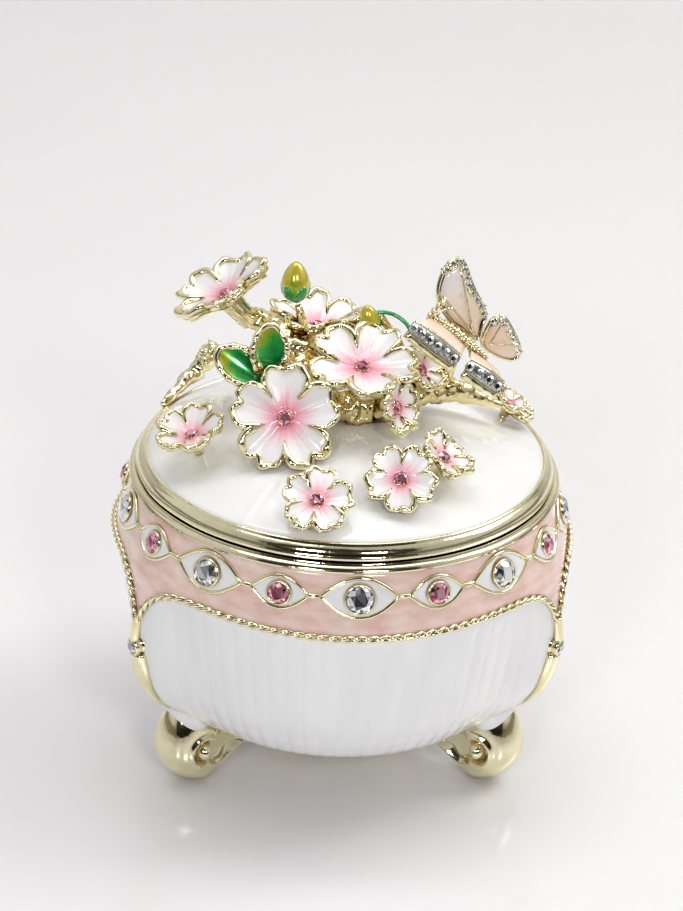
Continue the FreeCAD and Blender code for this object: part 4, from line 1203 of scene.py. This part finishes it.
def make_leaf(name):
    """Leaf with a gold rim, a folded middle and enamel that turns olive towards its tip."""
    points = node_points("leaf_" + name)
    centre, along, across, normal = upright_axes(points)
    if normal[1] > 0:
        normal = -normal
    reach = (points - centre) @ along
    length = reach.max() - reach.min()
    width = np.ptp((points - centre) @ across)
    root = centre + along * reach.min()
    across = np.cross(along, normal)

    def place(t, s, height):
        half = 0.53 * width * sin(pi * t ** 1.15) ** 0.62
        fold = 0.16 * width * abs(s) ** 2 * sin(pi * t)
        bend = -0.10 * length * (t - 0.4) ** 2 * 4.0 * 0.3
        return root + along * (t * length) + across * (s * half) + normal * (height + fold + bend)

    rows = 22
    columns = 12
    metal = Shape()
    enamel = Shape()
    top = [[place(0.01 + 0.98 * i / rows, -1.0 + 2.0 * j / columns, 0.0) for j in range(columns + 1)]
           for i in range(rows + 1)]
    metal.grid([row + [point - normal * 0.7 for point in row[::-1]] for row in top], caps=True)
    rim = [place(0.14 + 0.85 * i / 30, -1.0, 0.05) for i in range(30)]
    rim += [place(0.99 - 0.85 * i / 30, 1.0, 0.05) for i in range(31)]
    tube(metal, rim, [0.50 + 0.08 * sin(0.9 * k) for k in range(len(rim))], 8)
    skin = []
    tints = []
    for i in range(rows + 1):
        t = 0.05 + 0.9 * i / rows
        upper = [place(t, -0.86 + 1.72 * j / columns, 0.14) for j in range(columns + 1)]
        lower = [place(t, -0.86 + 1.72 * j / columns, -0.2) for j in range(columns + 1)]
        skin.append(upper + lower[::-1])
        tone = [0.04 + 0.8 * t ** 1.5 - 0.5 * (j / columns - 0.5) for j in range(columns + 1)]
        tints.append(tone + tone[::-1])
    enamel.grid(skin, caps=True, tint=tints)
    make_piece("leaf_metal_" + name, metal, CAST_GOLD, "lid", ["leaf_" + name])
    make_piece("leaf_skin_" + name, enamel, LEAF, "lid", ["leaf_enamel"])


def make_bud(name, plump):
    """Closed bud: olive enamel in a cup of five green scales."""
    points = node_points("bud_" + name)
    centre, along, across, normal = upright_axes(points)
    reach = (points - centre) @ along
    length = reach.max() - reach.min()
    width = np.ptp((points - centre) @ across) / 2.0
    root = centre + along * reach.min()

    def skin_point(t, angle, lift):
        size = plump * width * sin(pi * t ** 0.85) ** 0.6
        crease = 1.0 - 0.12 * exp(-((angle - 1.2 - 0.8 * t) / 0.3) ** 2)
        return root + along * (t * length) + (across * cos(angle) + normal * sin(angle)) \
            * (size * crease + lift)

    shape = Shape()
    rows = []
    tints = []
    steps = 20
    turns = circle(30)
    for i in range(steps + 1):
        t = 0.015 + 0.97 * i / steps
        rows.append([skin_point(t, angle, 0.0) for angle in turns])
        tints.append([0.55 + 0.45 * t + 0.12 * sin(3 * angle) for angle in turns])
    shape.grid(rows, caps=True, tint=tints)
    scales = []
    scale_tints = []
    for angle in turns:
        top = 0.36 + 0.13 * cos(5 * angle)
        heights = [0.03 + (top - 0.03) * share for share in (0.0, 0.25, 0.5, 0.75, 1.0)]
        out_row = [skin_point(t, angle, 0.24 * (1.0 - 0.5 * t / top)) for t in heights]
        in_row = [skin_point(t, angle, -0.2) for t in reversed(heights)]
        scales.append(out_row + in_row)
        scale_tints.append([0.1, 0.15, 0.2, 0.25, 0.35, 0.35, 0.25, 0.2, 0.15, 0.1])
    shape.grid(scales, along=True, tint=scale_tints)
    if name == "right":
        tube(shape, spray_curve(BUD_STALK, 4), 0.32, 8, tint=0.2)
    make_piece("bud_skin_" + name, shape, LEAF, "lid", ["bud_" + name])


# Butterfly, in mm and square to the box. Far wings: the outline, the run of it that carries stones and the
# point the veins spread from.
FAR_WINGS = {
    "forewing_far": (((18.8, 1.4, 66.6), (16.6, 1.1, 68.2), (14.8, 0.9, 69.5), (13.3, 0.9, 71.5),
                      (12.5, 1.0, 73.3), (12.3, 1.2, 74.8), (12.7, 1.5, 76.6), (13.3, 2.0, 78.1),
                      (14.3, 2.4, 79.0), (15.3, 2.7, 79.3), (16.0, 2.8, 78.8), (16.7, 2.8, 77.3),
                      (17.5, 2.7, 75.3), (18.5, 2.6, 73.3), (19.5, 2.5, 71.4), (19.9, 2.3, 69.9),
                      (19.4, 2.0, 68.6)), (7, 15), (17.8, 1.5, 68.0)),
    "hindwing_far": (((19.4, 2.1, 66.3), (20.0, 2.4, 68.3), (20.8, 2.6, 69.7), (21.8, 2.8, 70.2),
                      (22.9, 3.0, 69.6), (23.9, 3.1, 68.0), (24.8, 3.2, 66.3), (25.4, 3.3, 64.6),
                      (25.4, 3.3, 63.5), (24.6, 3.1, 62.9), (23.2, 2.8, 63.1), (21.5, 2.5, 63.9),
                      (20.0, 2.2, 65.0)), (2, 8), (20.6, 2.3, 65.8)),
}
# Near wings, seen along their edge: the edge bar from end to end, the membrane's line on the body, and the
# number and radius of the stones.
NEAR_WINGS = {
    "forewing_near": (((8.4, -4.4, 71.3), (11.9, -4.3, 68.6), (15.4, -4.2, 65.8)),
                      ((11.4, -1.2, 71.2), (14.0, -1.0, 69.4), (16.6, -0.9, 66.9)), 6, 0.66),
    "hindwing_near": (((17.0, -3.8, 65.0), (19.7, -3.8, 63.2), (22.0, -3.7, 61.4)),
                      ((17.4, -1.0, 66.2), (19.3, -1.0, 64.9), (21.4, -1.0, 63.2)), 4, 0.68),
}
NEAR_FACING = (-0.25, -0.83, 0.5)
BODY = ((11.5, -0.6, 71.0, 0.6), (12.9, -0.6, 70.2, 0.85), (14.7, -0.6, 69.1, 1.0), (16.4, -0.6, 67.8, 0.9),
        (18.1, -0.6, 66.3, 0.75), (20.0, -0.6, 64.8, 0.45))
BODY_POST = ((15.8, -0.5, 67.2), (15.0, 1.4, 62.0), (14.2, 3.2, 57.2))
FEELERS = (
    ((12.0, -0.8, 70.2), (11.2, -0.9, 70.9), (11.6, -0.8, 72.0), (12.6, -0.7, 73.1), (13.4, -0.6, 73.8)),
    ((12.2, -0.8, 70.2), (12.6, 0.2, 71.4), (13.8, 0.6, 72.0), (14.6, 0.8, 72.0)),
)


def add_grains(shape, places, radius):
    """Small grains that hold the stones."""
    for place in places:
        bead(shape, place, (radius, radius, radius), rings=4, segments=7)


def make_far_wing(name, stones):
    """Wing plate with a gold frame and veins, enamel on both faces and stones along its outer edge."""
    corners, (first, last), spring = FAR_WINGS[name]
    corners = [spray(corner) for corner in corners]
    spring = spray(spring)
    centre = sum(corners) / len(corners)
    normal = np.zeros(3)
    for here, there in zip(corners, corners[1:] + corners[:1]):
        normal += np.cross(here - centre, there - centre)
    normal = unit(normal)
    if normal[1] > 0:
        normal = -normal
    flat = [corner - normal * np.dot(corner - centre, normal) for corner in corners]
    spring = spring - normal * np.dot(spring - centre, normal)
    outline = smooth_curve(flat, 5, closed=True)
    metal = Shape()
    rows = [[centre + (point - centre) * share + normal * lift for point in outline]
            for share, lift in ((0.02, 0.2), (0.98, 0.2), (0.98, -0.2), (0.02, -0.2))]
    metal.grid(rows, along=True)
    tube(metal, [centre + (point - centre) * 0.97 for point in outline], 0.3, 8, closed=True)
    jewelled = outline[first * 5:last * 5 + 1]
    inward = [unit(centre - point) for point in jewelled]
    seats = []
    for point, inside in zip(jewelled, inward):
        seat = point + inside * 0.55
        if not seats or np.linalg.norm(seat - seats[-1][0]) > 1.12:
            seats.append((seat, inside))
    for face in (1.0, -1.0):
        band = [point + inside * 0.6 + normal * 0.22 * face for point, inside in zip(jewelled, inward)]
        tube(metal, band, 0.55, 8, up=[normal] * len(band), flatten=0.5)
        edge = [point + inside * 1.15 + normal * 0.3 * face for point, inside in zip(jewelled, inward)]
        tube(metal, edge, 0.17, 6)
        for seat, inside in seats:
            add_stone(stones, seat + normal * face * 0.46, normal * face, 0.47)
            side = np.cross(inside, normal)
            add_grains(metal, [seat + side * 0.5 + inside * k + normal * face * 0.5
                               for k in (-0.33, 0.33)], 0.17)
    enamel = Shape()
    for face in (1.0, -1.0):
        loops = []
        tints = []
        for share, lift in ((0.004, 0.36), (0.3, 0.38), (0.6, 0.36), (0.86, 0.26), (0.86, 0.12),
                            (0.004, 0.12)):
            ring = [centre + (point - centre) * share for point in outline]
            loops.append([point + normal * lift * face for point in ring])
            tints.append([0.1 + 0.75 * min(1.0, np.linalg.norm(point - spring) / 9.0) for point in ring])
        enamel.grid(loops, along=True, tint=tints)
        for share in (0.3, 0.52):
            target = outline[int(share * len(outline))]
            vein = [spring + (target - spring) * step + normal * face * 0.4
                    for step in np.linspace(0.0, 0.86, 8)]
            tube(metal, vein, [0.2 - 0.01 * k for k in range(8)], 6)
    make_piece(name + "_metal", metal, CAST_GOLD, "lid", [name])
    make_piece(name + "_skin", enamel, WING, "lid", ["wing_enamel"])


def make_near_wing(name, stones):
    """Wing that shows its thick jewelled edge, with its enamel running back to the body."""
    bar, root, count, stone_radius = NEAR_WINGS[name]
    facing = unit(NEAR_FACING)
    bar = spray_curve(bar, 6)
    root = spray_curve(root, 6)
    metal = Shape()
    bed = Shape()
    bar = [point + facing * 0.5 for point in bar]
    down = unit(np.cross(bar[-1] - bar[0], facing))
    widths = [stone_radius * (1.35 + 0.3 * sin(pi * k / (len(bar) - 1))) for k in range(len(bar))]
    tube(bed, bar, widths, 12, up=[facing] * len(bar), flatten=0.5)
    strip = [point + down * (width + 0.35) - facing * 0.25 for point, width in zip(bar, widths)]
    tube(metal, strip, [0.72 + 0.06 * sin(1.7 * k) for k in range(len(bar))], 10,
         up=[facing] * len(bar), flatten=0.6)
    edge = [point - down * (width + 0.05) for point, width in zip(bar, widths)]
    tube(metal, edge, 0.26, 8)
    lengths = np.linspace(0.07, 0.93, count) * (len(bar) - 1)
    for place in lengths:
        low = int(place)
        seat = bar[low] + (bar[min(low + 1, len(bar) - 1)] - bar[low]) * (place - low)
        add_stone(stones, seat + facing * (0.5 * widths[low] + 0.08), facing, stone_radius)
        along = unit(bar[-1] - bar[0])
        add_grains(bed, [seat + along * stone_radius + down * k * stone_radius * 0.8
                         + facing * 0.45 * widths[low] for k in (-1.0, 1.0)], 0.18)
    enamel = Shape()
    for shape, low, high, margin in ((metal, -0.32, -0.02, 0.0), (enamel, 0.0, 0.3, 0.06)):
        rows = []
        tints = []
        for start, end in zip(root, bar):
            across = unit(np.cross(end - start, bar[-1] - bar[0]))
            across = across if across[2] > 0 else -across
            shares = np.linspace(margin, 0.96 - margin, 7)
            arch = [0.35 * sin(pi * share) for share in shares]
            upper, lower = ([start + (end - start) * share + across * (lift + rise)
                             for share, rise in zip(shares, arch)] for lift in (high, low))
            rows.append(upper + lower[::-1])
            tints.append(list(shares) + list(shares[::-1]))
        shape.grid(rows, caps=True, tint=tints)
    make_piece(name + "_bed", bed, STEEL, "lid", [name])
    make_piece(name + "_metal", metal, CAST_GOLD, "lid", [name])
    make_piece(name + "_skin", enamel, WING, "lid", ["wing_enamel"])


def make_butterfly():
    """Butterfly with a beaded body, four wings, pave stones and beaded feelers."""
    shape = Shape()
    stations = spray_curve(BODY, 4)
    curve = [station[:3] for station in stations]
    radii = [station[3] for station in stations]
    for index, (point, radius) in enumerate(zip(curve, radii)):
        along = unit(curve[min(index + 1, len(curve) - 1)] - curve[max(index - 1, 0)])
        size = radius * (1.08 if index % 2 else 0.85)
        bead(shape, point, (size, size, radius * 0.55), axes_facing(along), 8, 14)
    tube(shape, curve, [radius * 0.7 for radius in radii], 10)
    tube(shape, spray_curve(BODY_POST, 6), 0.75, 10)
    make_piece("butterfly", shape, CAST_GOLD, "lid", ["butterfly_body"])
    stones = Shape()
    for name in FAR_WINGS:
        make_far_wing(name, stones)
    for name in NEAR_WINGS:
        make_near_wing(name, stones)
    make_piece("pave_stones", stones, CLEAR_STONE, "lid", ["pave_crystals"], flat=True)
    feelers = Shape()
    for route, size in zip(FEELERS, (0.5, 0.28)):
        path = spray_curve(route, 3)
        tube(feelers, path, 0.2, 6)
        for point in path[1::2]:
            bead(feelers, point, (size, size, size))
    make_piece("feelers", feelers, CAST_GOLD, "lid", ["antennae"])


# ---------------------------------------------------------------- kept CAD pieces
def dress_kept_nodes():
    """CAD nodes that stay as they are get the finished materials."""
    brushed, graph, shader = new_material("magnet_nickel", Metallic=1.0, Base_Color=(0.62, 0.62, 0.64, 1.0))
    fine = graph.noise(graph.place(), 3000.0)
    graph.rough_map(shader, fine, 0.2, 0.4)
    graph.bump(shader, fine, 0.2, 0.01)
    kept = {"lid_casting": GOLD, "locating_lip": GOLD, "hinge_base_leaf": GOLD, "hinge_lid_leaf": GOLD,
            "hinge_pin": GOLD, "base_magnet": brushed, "lid_magnet": brushed}
    for node, material in kept.items():
        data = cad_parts[node].data
        data.materials.clear()
        data.materials.append(material)


# ---------------------------------------------------------------- stage, light and camera
def make_stage():
    """Glossy pale table with a plain backdrop that curves up behind it."""
    shape = Shape()
    half_width = 900.0
    profile = [(-700.0, 0.0), (-200.0, 0.0), (0.0, 0.0), (200.0, 0.0), (420.0, 0.0), (520.0, 14.0),
               (590.0, 60.0), (620.0, 140.0), (630.0, 900.0)]
    curve = smooth_curve(profile, 6)
    shape.grid([[(x, y, z - 0.02) for y, z in curve] for x in np.linspace(-half_width, half_width, 9)],
               around=False)
    material, graph, shader = new_material("table", Roughness=0.26, Coat_Weight=0.5, Coat_Roughness=0.1)
    cloud = graph.noise(graph.place(), 6.0)
    graph.feed(shader, Base_Color=graph.ramp(cloud, (0.3, (0.83, 0.82, 0.83)), (0.7, (0.86, 0.85, 0.86))))
    mesh = bpy.data.meshes.new("table")
    mesh.from_pydata([tuple(c * MM for c in point) for point in shape.points], [], shape.faces)
    mesh.polygons.foreach_set("use_smooth", [True] * len(mesh.polygons))
    mesh.materials.append(material)
    table = bpy.data.objects.new("table", mesh)
    bpy.context.scene.collection.objects.link(table)


# Direction in the room that stays dark: where the camera stands.
CAMERA_SIDE = (-0.09, -0.86, 0.5)


def add_light(name, location, target, size, power, colour=(1.0, 1.0, 1.0)):
    """Rectangular lamp, aimed at a point. Places and sizes are in metres."""
    light = bpy.data.lights.new(name, "AREA")
    light.shape = "RECTANGLE"
    light.size, light.size_y = size
    light.energy = power
    light.color = colour
    lamp = bpy.data.objects.new(name, light)
    bpy.context.scene.collection.objects.link(lamp)
    lamp.location = location
    lamp.rotation_euler = (Vector(target) - Vector(location)).to_track_quat("-Z", "Y").to_euler()


def make_light():
    """Key lamp behind at the right, lamps above, two small ones in front and one on the backdrop.

    The room is white behind the box, dark towards the camera and dim along the horizon.
    """
    add_light("key", (0.5, 0.12, 0.62), (0.0, 0.0, 0.03), (0.34, 0.34), 2.1, (1.0, 0.98, 0.95))
    add_light("top", (-0.15, 0.1, 0.85), (0.0, 0.0, 0.03), (0.6, 0.4), 0.8)
    add_light("front_left", (-0.32, -0.82, 0.5), (0.0, 0.0, 0.04), (0.17, 0.17), 2.0, (0.96, 0.98, 1.0))
    add_light("front_right", (0.2, -0.84, 0.56), (0.0, 0.0, 0.04), (0.15, 0.15), 2.0, (1.0, 0.99, 0.97))
    add_light("back", (0.0, 0.15, 0.95), (0.0, 0.62, 0.2), (0.8, 0.2), 2.0)
    world = bpy.data.worlds.new("room")
    world.use_nodes = True
    graph = Graph(world.node_tree)
    direction = graph.add("TexCoord").outputs["Generated"]
    toward = graph.add("VectorMath", {"operation": "DOT_PRODUCT"}, Vector=direction)
    toward.inputs[1].default_value = CAMERA_SIDE
    blend = graph.ramp(toward.outputs["Value"], (0.0, (1.0, 1.0, 1.0)), (0.5, (0.85, 0.85, 0.85)),
                       (0.74, (0.6, 0.59, 0.57)), (0.8, (0.05, 0.045, 0.035)))
    height = graph.add("SeparateXYZ", Vector=direction)
    horizon = graph.ramp(height.outputs["Z"], (0.0, (0.40, 0.36, 0.30)), (0.14, (0.30, 0.26, 0.20)),
                         (0.3, (1.0, 1.0, 1.0)))
    graph.feed(world.node_tree.nodes["Background"], Color=graph.multiply(blend, horizon), Strength=0.65)
    bpy.context.scene.world = world
    bpy.context.scene.view_settings.view_transform = "Standard"


# Angles in degrees; distance, target and lens in mm.
VIEW_AZIMUTH = -5.21
VIEW_ELEVATION = 26.74
VIEW_ROLL = 2.7
VIEW_DISTANCE = 421.3
VIEW_TARGET = (-0.53, 0.05, 48.12)
LENS = 111.85


def make_camera():
    """Camera a little to the left of the front, looking down at the box."""
    camera = bpy.data.cameras.new("camera")
    camera.lens = LENS
    camera.sensor_width = 36.0
    camera.clip_start = 0.01
    holder = bpy.data.objects.new("camera", camera)
    bpy.context.scene.collection.objects.link(holder)
    elevation = radians(VIEW_ELEVATION)
    away = polar(VIEW_AZIMUTH, cos(elevation), sin(elevation))
    target = np.array(VIEW_TARGET)
    place = Vector((target + away * VIEW_DISTANCE) * MM)
    look = (Vector(target * MM) - place).to_track_quat("-Z", "Y").to_matrix().to_4x4()
    holder.matrix_world = Matrix.Translation(place) @ look @ Matrix.Rotation(radians(VIEW_ROLL), 4, "Z")
    bpy.context.scene.camera = holder


make_casting()
make_panels()
make_collar()
make_rims()
make_rope()
make_band()
make_straps()
make_feet()
make_lobes()
make_dome()
make_blossoms()
make_branch()
for leaf_name in ("left", "right"):
    make_leaf(leaf_name)
for bud_name, plumpness in (("upper", 1.06), ("right", 0.92)):
    make_bud(bud_name, plumpness)
make_butterfly()
dress_kept_nodes()
make_stage()
make_light()
make_camera()
